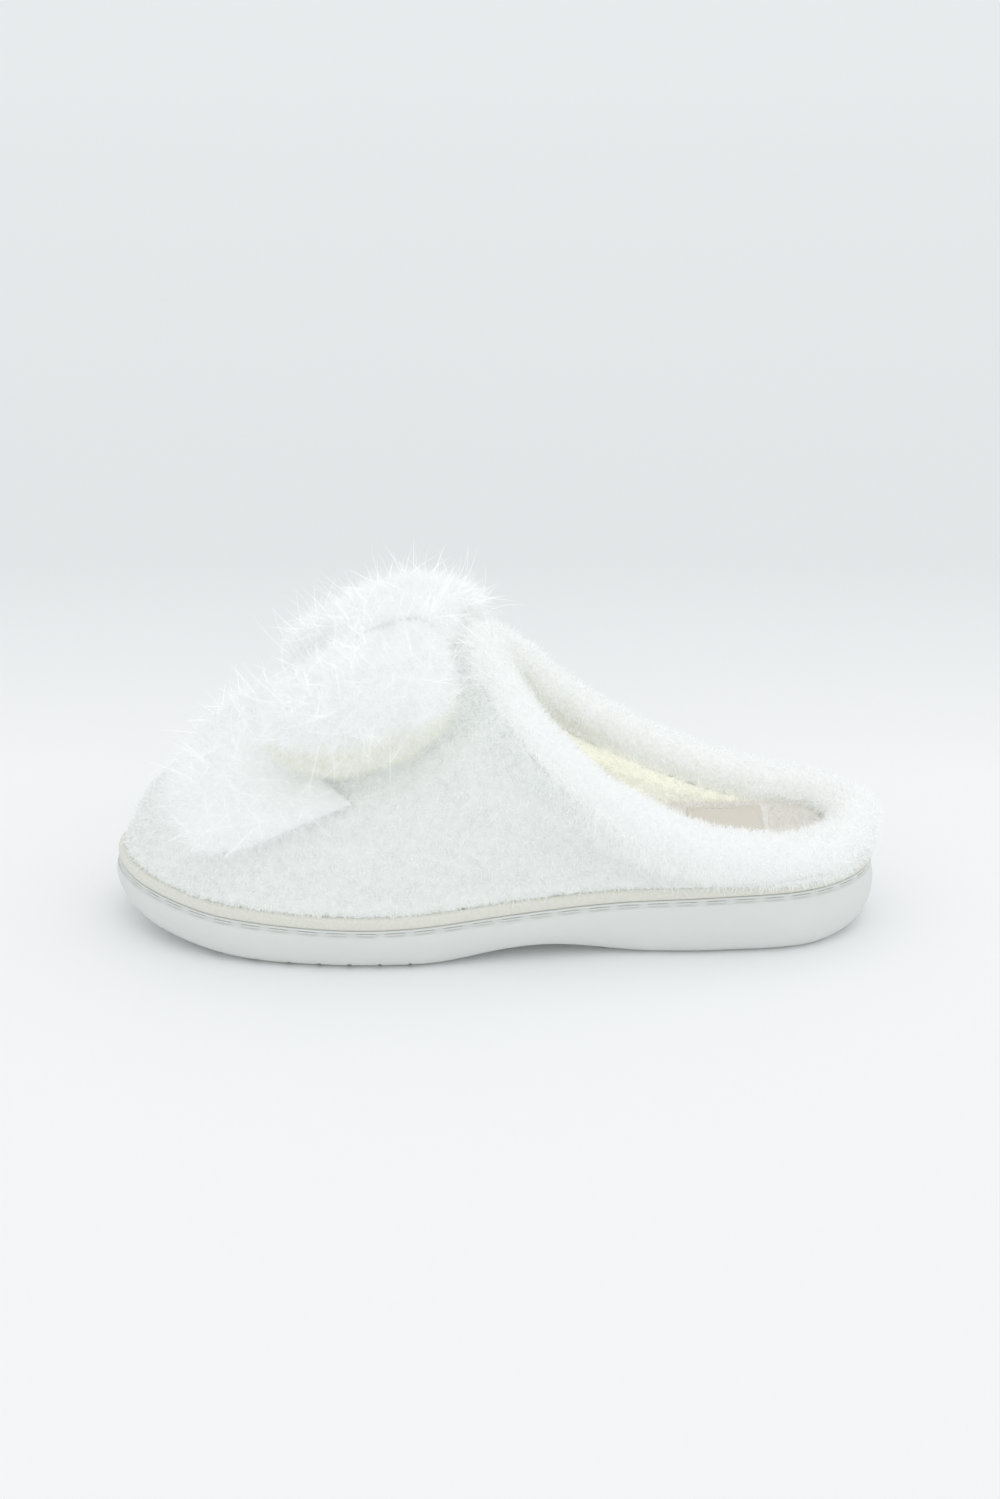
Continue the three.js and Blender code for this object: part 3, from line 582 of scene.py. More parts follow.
class Finish:
    """A procedural material: patterns on object coordinates lead to colour, roughness and bump.
    Sizes are in millimetres and become the pattern's repeats in a metre."""

    def __init__(self, name, **constants):
        self.material = bpy.data.materials.new(name)
        self.material.use_nodes = True
        self.tree = self.material.node_tree
        self.shader = self.tree.nodes["Principled BSDF"]
        self.coords = self.tree.nodes.new("ShaderNodeTexCoord").outputs["Object"]
        for socket, value in constants.items():
            self.shader.inputs[socket.replace("_", " ")].default_value = value

    def node(self, kind, sockets=None, **settings):
        """A shader node with its settings, and its sockets set or linked."""
        made = self.tree.nodes.new("ShaderNode" + kind)
        for key, value in settings.items():
            setattr(made, key, value)
        for key, value in (sockets or {}).items():
            if isinstance(value, bpy.types.NodeSocket):
                self.tree.links.new(value, made.inputs[key])
            else:
                made.inputs[key].default_value = value
        return made

    def stretched(self, scale, turn=(0, 0, 0)):
        """Coordinates turned and scaled, for a pattern with a direction."""
        return self.node("Mapping", {"Vector": self.coords, "Scale": scale, "Rotation": turn}).outputs[0]

    def noise(self, size, detail=3.0, rough=0.55, distortion=0.0, vector=None):
        """Clouds of a size."""
        return self.node("TexNoise", {
            "Vector": vector or self.coords, "Scale": 1000 / size, "Detail": detail,
            "Roughness": rough, "Distortion": distortion,
        }).outputs["Fac"]

    def cells(self, size, feature="F1", smoothness=None):
        """Distance from the middle of scattered round cells."""
        sockets = {"Vector": self.coords, "Scale": 1000 / size}
        if smoothness is not None:
            sockets["Smoothness"] = smoothness
        return self.node("TexVoronoi", sockets, feature=feature).outputs["Distance"]

    def wave(self, size, direction, distortion):
        """Bands of a width; the wave node's own band is a twentieth of a full turn wide."""
        return self.node("TexWave", {
            "Vector": self.coords, "Scale": 2 * np.pi / 20 * 1000 / size,
            "Distortion": distortion, "Detail": 2.0,
        }, bands_direction=direction).outputs["Fac"]

    def sum(self, a, b, way="ADD"):
        """Two values added, or put together another way."""
        return self.node("Math", {0: a, 1: b}, operation=way).outputs[0]

    def spread(self, value, low, high, to_low=0.0, to_high=1.0):
        """A value's range stretched to another range."""
        return self.node("MapRange", {
            "Value": value, "From Min": low, "From Max": high, "To Min": to_low, "To Max": to_high,
        }).outputs[0]

    def blend(self, share, first, second):
        """The first colour, and the second where the share is one."""
        made = self.node("Mix", data_type="RGBA")
        self.tree.links.new(share, made.inputs["Factor"])
        for socket, value in ((made.inputs[6], first), (made.inputs[7], second)):
            if isinstance(value, bpy.types.NodeSocket):
                self.tree.links.new(value, socket)
            else:
                socket.default_value = (*value, 1.0)
        return made.outputs[2]

    def colour(self, value):
        """The finish's own colour."""
        self.tree.links.new(value, self.shader.inputs["Base Color"])

    def roughness(self, value, low, high):
        """Roughness that follows a pattern between two values."""
        self.tree.links.new(self.spread(value, 0.2, 0.8, low, high), self.shader.inputs["Roughness"])

    def bump(self, height, depth, strength=1.0, below=None):
        """Relief of the given depth in millimetres, over an earlier relief if there is one."""
        sockets = {"Height": height, "Distance": depth * MM, "Strength": strength}
        if below is not None:
            sockets["Normal"] = below
        made = self.node("Bump", sockets).outputs[0]
        for link in list(self.shader.inputs["Normal"].links):
            self.tree.links.remove(link)
        self.tree.links.new(made, self.shader.inputs["Normal"])
        return made


def tone(colour, share):
    """A colour made darker by a share."""
    return tuple(np.array(colour[:3]) * share)


def moulded_finish(name, colour):
    """Cast foam sole: faint clouds, a skin of fine grain, and slightly uneven gloss."""
    f = Finish(name, Specular_IOR_Level=0.35)
    clouds, grain = f.noise(38, 3), f.noise(0.55, 4, 0.6)
    base = f.blend(f.spread(clouds, 0.3, 0.7), tone(colour, 0.965), colour[:3])
    f.colour(f.blend(f.spread(f.noise(6, 4), 0.35, 0.7, 0, 0.5), base, tone(colour, 0.975)))
    f.roughness(f.noise(4, 3), 0.46, 0.62)
    f.bump(f.noise(9, 2), 0.05, 0.5, f.bump(grain, 0.06, 0.8))
    return f.material


def welt_finish(name, colour):
    """Soft synthetic leather: pebbles of grain, finer pores and a slightly darker tone along the pebbles'
    borders.
    """
    f = Finish(name, Specular_IOR_Level=0.4)
    pebble = f.cells(0.9, "SMOOTH_F1", smoothness=0.6)
    f.colour(f.blend(f.spread(pebble, 0.1, 0.75), colour[:3], tone(colour, 0.93)))
    f.roughness(f.noise(3, 3), 0.42, 0.6)
    f.bump(f.noise(0.3, 3), 0.03, 0.6, f.bump(pebble, 0.07, 0.7))
    return f.material


def thread_finish(name, colour):
    """Waxed two-ply thread: slanted fibres and small changes of shade."""
    f = Finish(name, Sheen_Weight=0.15, Specular_IOR_Level=0.3)
    fibre = f.noise(0.16, 3, vector=f.stretched((1, 1, 0.25), (0, 0.6, 0)))
    f.colour(f.blend(f.spread(fibre, 0.3, 0.7), tone(colour, 0.9), colour[:3]))
    f.roughness(f.noise(0.6), 0.55, 0.75)
    f.bump(fibre, 0.05, 0.8)
    return f.material


def plush_finish(name, colour, knot_size=2.4, painted_hollow_shade=0.93, sheen=0.35):
    """Looped plush ground: small knots of yarn with painted shade in the hollows between them, over broad
    clouds.
    """
    f = Finish(name, Sheen_Weight=sheen, Sheen_Roughness=0.55, Specular_IOR_Level=0.15)
    loops = f.cells(knot_size, "SMOOTH_F1", smoothness=0.4)
    yarn = f.noise(0.5, 4, 0.65, 0.8)
    shade = f.sum(f.spread(loops, 0.15, 0.8, 0, 0.7), f.spread(yarn, 0.3, 0.75, 0, 0.3))
    near = f.blend(f.spread(f.noise(26, 3), 0.3, 0.7), tone(colour, 0.985), colour[:3])
    # The hollows between the knots are darkened: painted shade.
    f.colour(f.blend(shade, near, tone(colour, painted_hollow_shade)))
    f.roughness(yarn, 0.86, 0.98)
    f.bump(f.sum(loops, -1.0, "MULTIPLY"), 0.45, 0.7, f.bump(yarn, 0.15, 0.9))
    return f.material


def pile_finish(name, colour, sheen=0.25, variety=0.94, size=1.6, painted_glow=0.04):
    """Fibres of pile: each tuft a slightly different shade, matt, with a painted glow of emission in the pile's
    own colour.
    """
    # The emission is painted light: a glow that brightens the fibres as if light came through them.
    f = Finish(name, Sheen_Weight=sheen, Sheen_Roughness=0.4, Specular_IOR_Level=0.2,
               Emission_Color=(*colour[:3], 1), Emission_Strength=painted_glow)
    tuft, streak = f.noise(size, 3, 0.6), f.noise(9, 3)
    base = f.blend(f.spread(streak, 0.3, 0.7), tone(colour, 0.985), colour[:3])
    f.colour(f.blend(f.spread(tuft, 0.35, 0.7), base, tone(colour, variety)))
    f.roughness(tuft, 0.78, 0.95)
    return f.material


def tinsel_finish(name, colour):
    """Iridescent film: nearly white, with hints of pink, gold, green and blue in turn, and glossy, with painted
    glints from a white glow.
    """
    # The white emission at half strength is painted light: it makes the strands glint.
    f = Finish(name, Specular_IOR_Level=0.9, Coat_Weight=0.6, Coat_Roughness=0.08,
               Emission_Color=(1, 1, 1, 1), Emission_Strength=0.5)
    hue = f.noise(5.5, 2, 0.6)
    ramp = f.node("ValToRGB", {"Fac": hue})
    stops = ramp.color_ramp
    stops.elements[0].position, stops.elements[1].position = 0.3, 0.7
    stops.elements[0].color = (1.0, 0.88, 0.95, 1)
    stops.elements[1].color = (0.88, 0.95, 1.0, 1)
    for place, c in ((0.4, (1.0, 0.97, 0.88, 1)), (0.5, (1.0, 1.0, 1.0, 1)), (0.6, (0.90, 1.0, 0.94, 1))):
        stops.elements.new(place).color = c
    f.colour(f.blend(f.spread(f.noise(2.5), 0.4, 0.65), ramp.outputs[0], colour[:3]))
    f.roughness(f.noise(3), 0.12, 0.3)
    return f.material


def woven_finish(name, colour):
    """Woven tape: crossing yarns, darker where they lie low, with roughness in clouds."""
    f = Finish(name, Sheen_Weight=0.2, Specular_IOR_Level=0.25)
    warp, weft = f.wave(0.5, "X", 0.4), f.wave(0.5, "Y", 0.4)
    cross = f.sum(warp, weft, "MULTIPLY")
    f.colour(f.blend(f.spread(cross, 0.05, 0.8), tone(colour, 0.82), colour[:3]))
    f.roughness(f.noise(1.2), 0.65, 0.85)
    f.bump(cross, 0.08, 0.9)
    return f.material


def foam_finish(name, colour, cell=0.8):
    """Open foam or fibre wadding: round cells with shaded walls."""
    f = Finish(name, Specular_IOR_Level=0.2)
    bubbles = f.cells(cell)
    f.colour(f.blend(f.spread(bubbles, 0.1, 0.7), colour[:3], tone(colour, 0.86)))
    f.roughness(f.noise(2), 0.8, 0.95)
    f.bump(bubbles, 0.12, 0.8)
    return f.material


def floor_finish(name, colour, painted_shade_behind):
    """Studio paper: pale round the object, with painted shade deepening in a band behind it, then a little
    paler again further back.
    """
    f = Finish(name, Specular_IOR_Level=0.1)
    depth = f.node("SeparateXYZ", {0: f.coords}).outputs[1]
    # The darker band behind the slipper is painted shade on the flat floor.
    rise = f.spread(depth, 0.12, 0.36)
    far = f.spread(depth, 0.5, 1.5, 0, 0.3)
    f.colour(f.blend(far, f.blend(rise, colour[:3], painted_shade_behind[:3]), colour[:3]))
    f.roughness(f.noise(30, 2), 0.85, 0.95)
    return f.material


# ---------------------------------------------------------------- what a maker may change


def length(name, default, text):
    """A length in millimetres, kept as metres."""
    return bpy.props.FloatProperty(
        name=name, description=text, default=default * MM, min=0, soft_max=0.1, unit="LENGTH", precision=5)


def amount(name, default, text):
    """A number of fibres or strands."""
    return bpy.props.IntProperty(name=name, description=text, default=default, min=1, soft_max=60000)


def shade(name, default, text):
    """A colour."""
    return bpy.props.FloatVectorProperty(
        name=name, description=text, default=default, min=0, max=1, size=3, subtype="COLOR")


class SlipperSizes(bpy.types.PropertyGroup):
    """Sizes and counts of the soft parts."""

    stitch_pitch: length("Stitch pitch", 9.7, "Distance between the stitches round the sole")
    knot_height: length("Yarn knot height", 0.9, "How far the knots of the upper's plush stand out")
    curl_length: length("Curl length", 3.4, "Length of the curly fibres of the upper")
    curl_count: amount("Curls", 27000, "Curly fibres on each half of the upper")
    collar_pile: length("Collar pile", 3.1, "Length of the fibres on the rolled collar")
    collar_count: amount("Collar fibres", 42000, "Fibres on the rolled collar")
    lining_pile: length("Lining pile", 2.2, "Length of the fibres inside the shoe")
    lining_count: amount("Lining fibres", 26000, "Fibres on the lining")
    sock_count: amount("Footbed fibres", 22000, "Fibres on the footbed")
    fur_length: length("Bow fur", 5.0, "Length of the fine hairs of the bow")
    fur_count: amount("Bow hairs", 30000, "Fine hairs on each bow loop")
    tinsel_length: length("Tinsel length", 16.5, "Length of the glittering strands of the bow")
    tinsel_count: amount("Tinsel strands", 1700, "Glittering strands over the whole bow")


class SlipperColours(bpy.types.PropertyGroup):
    """Colours of the finishes."""

    sole: shade("Sole", (0.74, 0.765, 0.745), "Moulded sole")
    welt: shade("Welt", (0.78, 0.782, 0.712), "Strip along the top of the sole")
    thread: shade("Thread", (0.80, 0.81, 0.785), "Stitching")
    plush: shade("Plush", (0.952, 0.968, 0.957), "Upper")
    collar: shade("Collar", (0.985, 0.995, 0.988), "Rolled collar")
    lining: shade("Lining", (0.98, 0.978, 0.925), "Inside of the shoe")
    sock: shade("Footbed", (0.90, 0.885, 0.85), "Footbed plush")
    label: shade("Label", (0.81, 0.765, 0.67), "Woven label on the footbed")
    bow: shade("Bow", (0.988, 0.995, 0.992), "Bow plush and fur")
    tinsel: shade("Tinsel", (0.97, 0.98, 0.98), "Glittering strands")
    foam: shade("Foam", (0.85, 0.80, 0.68), "Foam, board and filling inside")
    floor: shade("Floor", (0.905, 0.91, 0.915), "Studio floor")
    # This colour is painted shade on the studio floor behind the slipper.
    backdrop: shade("Backdrop", (0.765, 0.785, 0.79), "Studio floor behind the slipper")


def sizes(context):
    """The sizes in millimetres, and the counts as whole numbers."""
    held = context.scene.slipper_sizes
    values = {k: getattr(held, k) for k in held.__annotations__}
    return {k: v / MM if isinstance(v, float) else v for k, v in values.items()}


def colours(context):
    """The colours by name."""
    held = context.scene.slipper_colours
    return {k: tuple(getattr(held, k)) for k in held.__annotations__}


# ---------------------------------------------------------------- sole


class SLIPPER_OT_outsole(bpy.types.Operator):
    """Moulded cup with a rounded wall, a channel for the stitching and a wavy tread"""

    bl_idname = "slipper.outsole"
    bl_label = "Outsole"

    def execute(self, context):
        share = np.arange(400) / 400
        lift = lambda level: (lambda x: ground(x) * (1 - level) + seam(x) * level)
        # Wall: a squared taper below its widest line and a squared return above it.
        below, past = 1 - CUP_LEVELS / CUP_WIDEST, (CUP_LEVELS - CUP_WIDEST) / 0.28
        inset = np.where(CUP_LEVELS < CUP_WIDEST, 3.3 * below**2, 0.8 * past**2)
        # The edge of the tread is rounded, so that the sole stands a little inside its outline.
        inset[: len(TREAD_EDGE)] += TREAD_EDGE
        rings = [ring(share, i, lift(level)) for i, level in zip(inset, CUP_LEVELS)]
        rings += [ring(share, i, above(z)) for i, z in CHANNEL]
        rings.append(ring(share, CUP_WALL, lambda x: ground(x) + 4 + 0.22 * (seam(x) - ground(x))))
        size, count = len(share), len(rings)
        quads = np.concatenate([bands(count, size), lid(0, size)[:, ::-1], lid((count - 1) * size, size)])
        points = np.concatenate(rings)
        material = moulded_finish("sole_compound", colours(context)["sole"])
        sole = surface_piece("sole", points, quads, material, "sole_compound", "outsole")
        cutter = self.tread()
        cut = sole.modifiers.new("tread", "BOOLEAN")
        cut.operation, cut.solver, cut.object = "DIFFERENCE", "EXACT", cutter
        graph = context.evaluated_depsgraph_get()
        mesh = bpy.data.meshes.new_from_object(sole.evaluated_get(graph))
        sole.modifiers.clear()
        old, sole.data = sole.data, mesh
        bpy.data.meshes.remove(old)
        bpy.data.objects.remove(cutter)
        sole.data.set_sharp_from_angle(angle=np.radians(32))
        return {"FINISHED"}

    def tread(self):
        """Wavy bars that cut the grooves: the middle of each follows its start plus a wave times the sine of
        y, from under the floor to the groove's depth above the underside. They are narrower at the top,
        and shorter at the heel."""
        points, quads = [], []
        box_quads = bands(61, 4)
        half = TREAD["width"] / 2
        for k, x0 in enumerate(TREAD_STARTS):
            y = np.linspace(-TREAD["reach"], TREAD["reach"], 61) * (1 if x0 < ARCH["start"] else 0.36)
            middle = x0 + TREAD["wave"] * np.sin(2 * np.pi * y / TREAD["wave_length"])
            top = np.full(len(y), float(ground(np.array([x0]))[0]) + TREAD["depth"])
            corners = [(-half, -8 - top), (half, -8 - top), (0.8 * half, 0 * top), (-0.8 * half, 0 * top)]
            rows = np.stack([np.stack([middle + dx, y, top + dz], -1) for dx, dz in corners], 1)
            first = k * len(y) * 4
            points.append(rows.reshape(-1, 3))
            ends = np.array([[0, 3, 2, 1], [0, 1, 2, 3]]) + [[0], [4 * (len(y) - 1)]]
            quads.append(first + np.concatenate([box_quads, ends]))
        points, quads = np.concatenate(points), np.concatenate(quads)
        mesh = mesh_of("tread_cutter", points, outward_facing(points, quads))
        made = bpy.data.objects.new("tread_cutter", mesh)
        bpy.context.scene.collection.objects.link(made)
        return made


class SLIPPER_OT_welt(bpy.types.Operator):
    """Cream strip round the top of the sole, with a rounded lip"""

    bl_idname = "slipper.welt"
    bl_label = "Welt"

    def execute(self, context):
        share = np.arange(480) / 480
        turn = full_turn(20)
        # Section: an oval with squarer corners below than above, just off the seam.
        across = SEAM_INSET + WELT_WIDTH / 2 * (1 - squarish(np.cos(turn), 0.6))
        power, clear = np.where(np.sin(turn) < 0, 0.45, 0.8), 0.03
        up = clear + (WELT_HEIGHT - clear) / 2 * (1 + squarish(np.sin(turn), power))
        points = np.concatenate([ring(share, i, above(z)) for i, z in zip(across, up)])
        quads = bands(len(turn), len(share), True)
        material = welt_finish("welt_compound", colours(context)["welt"])
        surface_piece("welt", points, quads, material, "welt_compound", "sole_welt")
        return {"FINISHED"}


class SLIPPER_OT_stitches(bpy.types.Operator):
    """Two-ply thread sewn through the channel of the sole, stitch by stitch"""

    bl_idname = "slipper.stitches"
    bl_label = "Sole stitches"

    def execute(self, context):
        count = int(round(PLAN_LENGTHS[-1] / sizes(context)["stitch_pitch"]))
        s, turn = np.linspace(0, 1, 25), full_turn(8)
        flat = ((np.arange(count)[:, None] + 0.06 + 0.88 * s) / count).ravel()
        # Each stitch lies in the channel and dives at both ends, with the sixth power of the way out.
        dive = STITCH["depth"] + STITCH["dive"] * np.abs(2 * s - 1) ** 6
        line = ring(flat, np.tile(dive, count), above(STITCH["height"])).reshape(count, len(s), 3)
        uneven = hashed(np.arange(count)[:, None, None] + np.zeros((1, 1, 3)), 5) - 0.5
        line[..., 2] += 0.12 * np.sin(np.pi * s) + 0.08 * uneven
        out = np.concatenate([outward(flat), np.zeros((len(flat), 1))], -1).reshape(count, len(s), 1, 3)
        # The two plies twist round each other, and the thread thins where it enters the sole.
        taper = np.clip(np.minimum(s, 1 - s) * 30, 0.05, 1) ** 0.5
        twist = turn[None] - 2 * np.pi * STITCH["twists"] * s[:, None]
        radius = STITCH["radius"] * taper[:, None] * (0.7 + 0.3 * np.cos(twist) ** 2)
        points, quads = stitch_tubes(line, out, radius, turn)
        material = thread_finish("thread", colours(context)["thread"])
        surface_piece("sole_stitches", points, quads, material, "thread", "sidewall_thread")
        return {"FINISHED"}


# ---------------------------------------------------------------- upper


def raised(points, normals, height):
    """Points moved along their normals by a height each."""
    return points + normals * height[..., None]


def facing(normals, direction):
    """Normals turned so that they point the way of a direction on the whole."""
    return normals * np.sign((normals * direction).sum())


def plush_relief(points, height, seed, knot=3.3):
    """Height of the knotted plush: large and small lumps with slow swells, about zero on average."""
    large, small = knobbly(points, knot, seed), knobbly(points, 0.55 * knot, seed + 7)
    return height * (large + 0.45 * small + 0.35 * cloudy(points, 5 * knot, seed + 13) - 0.75)


class SLIPPER_OT_upper(bpy.types.Operator):
    """Padded upper in knotted plush, with curly fibres that hang over the welt"""

    bl_idname = "slipper.upper"
    bl_label = "Upper"

    def execute(self, context):
        size, colour = sizes(context), colours(context)["plush"]
        v = np.linspace(0, 1, 96) ** 1.05
        outer = WALL_LINES.layer(WALL / 2, v, clear=6.6)
        out = WALL_LINES.out[None]
        n = facing(grid_normals(outer), out)
        # The foot of the plush swells over the welt and turns in at the sole.
        height = outer[..., 2] - seam(outer[..., 0])
        lip = (1.7 + 1.3 * smooth((outer[..., 0] - 150) / 70)) * np.exp(-(((height - 5.2) / 2.6) ** 2))
        relief = plush_relief(outer, size["knot_height"], 3)
        fillet = 2.9 * smooth((v - 0.5) / 0.42)[:, None]
        skin = raised(outer, n, relief * smooth(v / 0.03)[:, None] + lip * (v[:, None] > 0) + fillet)
        inner = WALL_LINES.layer(SHELL_INSIDE, np.linspace(1, 0, 6))
        points = np.concatenate([skin, inner]).reshape(-1, 3)
        quads = bands(len(skin) + len(inner), skin.shape[1], True)
        material = plush_finish("upper_plush", colour)
        upper = surface_piece("upper", points, quads, material, "plush", "upper_shell")
        # The curls glow with the pile's default painted light.
        self.curls(skin, out, size, pile_finish("upper_curls", colour, 0.3, 0.93, 1.8))
        return {"FINISHED"}

    def curls(self, skin, out, size, material):
        """Curly fibres all over, more of them low down over the welt and high up at the collar."""
        rng = np.random.default_rng(21)
        points, n = skin.reshape(-1, 3), facing(grid_normals(skin), out).reshape(-1, 3)
        triangles = split(bands(*skin.shape[:2]))
        y = points[triangles[:, 0], 1]
        low = points[triangles[:, 0], 2] - seam(points[triangles[:, 0], 0]) < 6.5
        high = triangles[:, 0] > 0.86 * len(points)
        count, long_ = size["curl_count"], size["curl_length"]
        # Where the fibres stand, how many, and their length, width, turn and lie.
        everywhere = np.ones(len(triangles), bool)
        bundles = (
            (everywhere, count, long_, 0.26, 3.2, -0.12),
            (low, count // 9, 0.85 * long_, 0.24, 2.2, -0.35),
            (high, count // 8, 1.2 * long_, 0.24, 2.0, 0.1),
        )
        for name, half in (("lateral", y < 0), ("medial", y >= 0)):
            made = []
            for where, number, reach, width, curl, lie in bundles:
                roots, normals = scatter(points, n, triangles[half & where], number, rng)
                made.append(fibres(roots, normals, rng, reach, width, lean=0.5, curl=curl, comb=(0, 0, lie)))
            fibre_piece("upper_curls_" + name, made, material, "plush")


class SLIPPER_OT_lining(bpy.types.Operator):
    """Cream plush on the inside of the upper"""

    bl_idname = "slipper.lining"
    bl_label = "Lining"

    def execute(self, context):
        size, colour = sizes(context), colours(context)["lining"]
        inside = WALL_LINES.layer(-WALL / 2, np.linspace(0, 1, 60))
        n = facing(grid_normals(inside), -WALL_LINES.out[None])
        skin = raised(inside, n, plush_relief(inside, 0.5, 31, 2.6))
        back = WALL_LINES.layer(LINING_OUTSIDE, np.linspace(1, 0, 4))
        points = np.concatenate([skin, back]).reshape(-1, 3)
        quads = bands(len(skin) + len(back), skin.shape[1], True)
        material = plush_finish("lining_plush", colour, 1.9, 0.92)
        lining = surface_piece("lining", points, quads, material, "lining", "upper_lining")
        rng = np.random.default_rng(22)
        flat, triangles = skin.reshape(-1, 3), split(bands(*skin.shape[:2]))
        seen = flat[triangles[:, 0], 0] > 95
        n = facing(grid_normals(skin), -WALL_LINES.out[None]).reshape(-1, 3)
        count, long_ = size["lining_count"], size["lining_pile"]
        roots, normals = scatter(flat, n, triangles[seen], count, rng)
        pile = fibres(roots, normals, rng, long_, 0.2, lean=0.45, curl=1.2, steps=2)
        # Longer fibres near the collar reach up to it.
        high = seen & (triangles[:, 0] > 0.8 * len(flat))
        roots, normals = scatter(flat, n, triangles[high], int(count / 3), rng)
        joint = fibres(roots, normals, rng, 1.6 * long_, 0.18, lean=0.6, curl=1.4, comb=(0, 0, 0.15), steps=2)
        # The lining's fibres glow more strongly: painted light that brightens the inside.
        finish = pile_finish("lining_fibres", colour, 0.2, 0.95, 1.4, painted_glow=0.15)
        fibre_piece("lining_pile", [pile, joint], finish, "lining")
        return {"FINISHED"}


class SLIPPER_OT_collar(bpy.types.Operator):
    """Rolled collar round the opening: a full soft tube with a short dense pile"""

    bl_idname = "slipper.collar"
    bl_label = "Collar"

    def execute(self, context):
        size, colour = sizes(context), colours(context)["collar"]
        axis = WALL_LINES.top.copy()
        # On the lateral side the roll is pressed down a little.
        axis[:, 2] -= COLLAR_PRESS * smooth((axis[:, 0] - 142) / 26) * smooth(-axis[:, 1] / 14)
        tangent = unit(np.roll(axis, -6, 0) - np.roll(axis, 6, 0))
        away = axis - WALL_LINES.middle(WALL_LINES.end(0))
        away = unit(away - (away * tangent).sum(1)[:, None] * tangent)
        across = np.cross(tangent, away)
        turn = full_turn(44)[:, None]
        round_ = np.cos(turn)[..., None] * away + np.sin(turn)[..., None] * across
        core = axis[None] + COLLAR_RADIUS * round_
        # A swell on the outer side fills the crease between collar and upper.
        radius = COLLAR_RADIUS - 0.25 + 0.5 * cloudy(core, 24, 41) + 0.4 * cloudy(core, 9, 42)
        radius = radius + 1.2 * np.exp(-(((turn - 2.3) / 0.5) ** 2))
        skin = axis[None] + radius[..., None] * round_
        skin = raised(skin, round_, plush_relief(skin, 0.75, 43, 3.0))
        quads = bands(len(turn), len(axis), True)
        points, normals_out = skin.reshape(-1, 3), round_.reshape(-1, 3)
        material = plush_finish("collar_plush", colour, 1.7, 0.95)
        collar = surface_piece("collar", points, quads, material, "collar_plush", "collar_cover")
        rng = np.random.default_rng(23)
        triangles = split(quads)
        roots, normals = scatter(points, normals_out, triangles, size["collar_count"], rng)
        # The pile is longest at the throat, where it spreads over the upper.
        throat = smooth((142 - roots[:, 0]) / 16)
        long_ = size["collar_pile"] * (1 + 0.8 * throat)
        spread = throat[:, None] * (-0.35, 0, 0.05) + (0, 0, -0.05)
        pile = fibres(roots, normals, rng, long_, 0.2, lean=0.5, curl=1.6, comb=spread, steps=2)
        # Longer fibres on the outer side hang over the joint with the upper.
        row = triangles[:, 0] // len(axis)
        joint = triangles[(row > 10) & (row < 20)]
        roots, normals = scatter(points, normals_out, joint, int(size["collar_count"] / 2.5), rng)
        long_ = size["collar_pile"] * (1.9 - 1.1 * smooth((roots[:, 0] - 175) / 40))
        hanging = fibres(roots, normals, rng, long_, 0.16, lean=0.7, curl=1.8, comb=(0, 0, -0.4))
        # The collar's fibres glow with the pile's default painted light.
        fibres_finish = pile_finish("collar_fibres", colour, 0.3, 0.955, 1.5)
        fibre_piece("collar_pile", [pile], fibres_finish, "collar_plush")
        fibre_piece("collar_joint_pile", [hanging], fibres_finish, "collar_plush")
        return {"FINISHED"}


# ---------------------------------------------------------------- footbed


class SLIPPER_OT_footbed(bpy.types.Operator):
    """Plush footbed, low at its edge, that fills the inside of the shoe"""

    bl_idname = "slipper.footbed"
    bl_label = "Footbed"

    def execute(self, context):
        size, colour = sizes(context), colours(context)["sock"]
        border = ring(FINE[:-1], FOOTBED_INSET, lambda x: 0 * x)
        middle = len(border) // 2
        toe, heel = border[0, 0], border[middle, 0]
        x = toe + (heel - toe) * (1 - np.cos(np.linspace(0.02, 1, 131) * np.pi * 0.985)) / 2
        outer = np.interp(x, border[:middle, 0], border[:middle, 1])
        inner = np.interp(x, border[:middle:-1, 0], border[:middle:-1, 1])
        across = np.linspace(0, 1, 61)
        y = outer[:, None] + (inner - outer)[:, None] * (1 - np.cos(np.pi * across)) / 2
        xs = np.repeat(x[:, None], len(across), 1)
        # The top is level across and rounds off towards the edge like a quarter oval.
        side = 1 - np.clip(np.minimum(y - outer[:, None], inner[:, None] - y) / 4, 0, 1)
        end = 1 - np.clip(np.minimum(xs - toe, heel - xs) / 5, 0, 1)
        edge = np.clip(np.hypot(side, end), 0, 1)
        top = footbed_top(xs) - 2.6 * (1 - np.sqrt(1 - edge**2))
        skin = np.stack([xs, y, top], -1)
        skin[1:-1, 1:-1, 2] += plush_relief(skin[1:-1, 1:-1], 0.4, 51, 2.4)
        under = np.stack([xs, y, seam(xs) + CUSHION + GAP], -1)
        points, quads = slab(skin, under)
        material = plush_finish("footbed_plush", colour, 1.8, 0.94)
        sock = surface_piece("footbed", points, quads, material, "sock", "footbed_sock")
        rng = np.random.default_rng(24)
        flat, triangles = skin.reshape(-1, 3), split(sheet_faces(*xs.shape))
        # The pile leaves the label free.
        margin = 0.5
        label = (flat[:, 0] > LABEL["start"] - margin) & (flat[:, 0] < LABEL["end"] + margin)
        label &= np.abs(flat[:, 1]) < LABEL["width"] / 2 + margin
        seen = (flat[triangles[:, 0], 0] > 100) & ~label[triangles].any(1)
        roots, normals = scatter(flat, np.zeros_like(flat) + UP, triangles[seen], size["sock_count"], rng)
        pile = fibres(roots, normals, rng, size["lining_pile"], 0.2, lean=0.5, curl=1.2, steps=2)
        # A faint glow on the footbed's fibres is painted light.
        finish = pile_finish("footbed_fibres", colour, 0.2, 0.94, 1.4, painted_glow=0.015)
        fibre_piece("footbed_pile", [pile], finish, "sock")
        return {"FINISHED"}


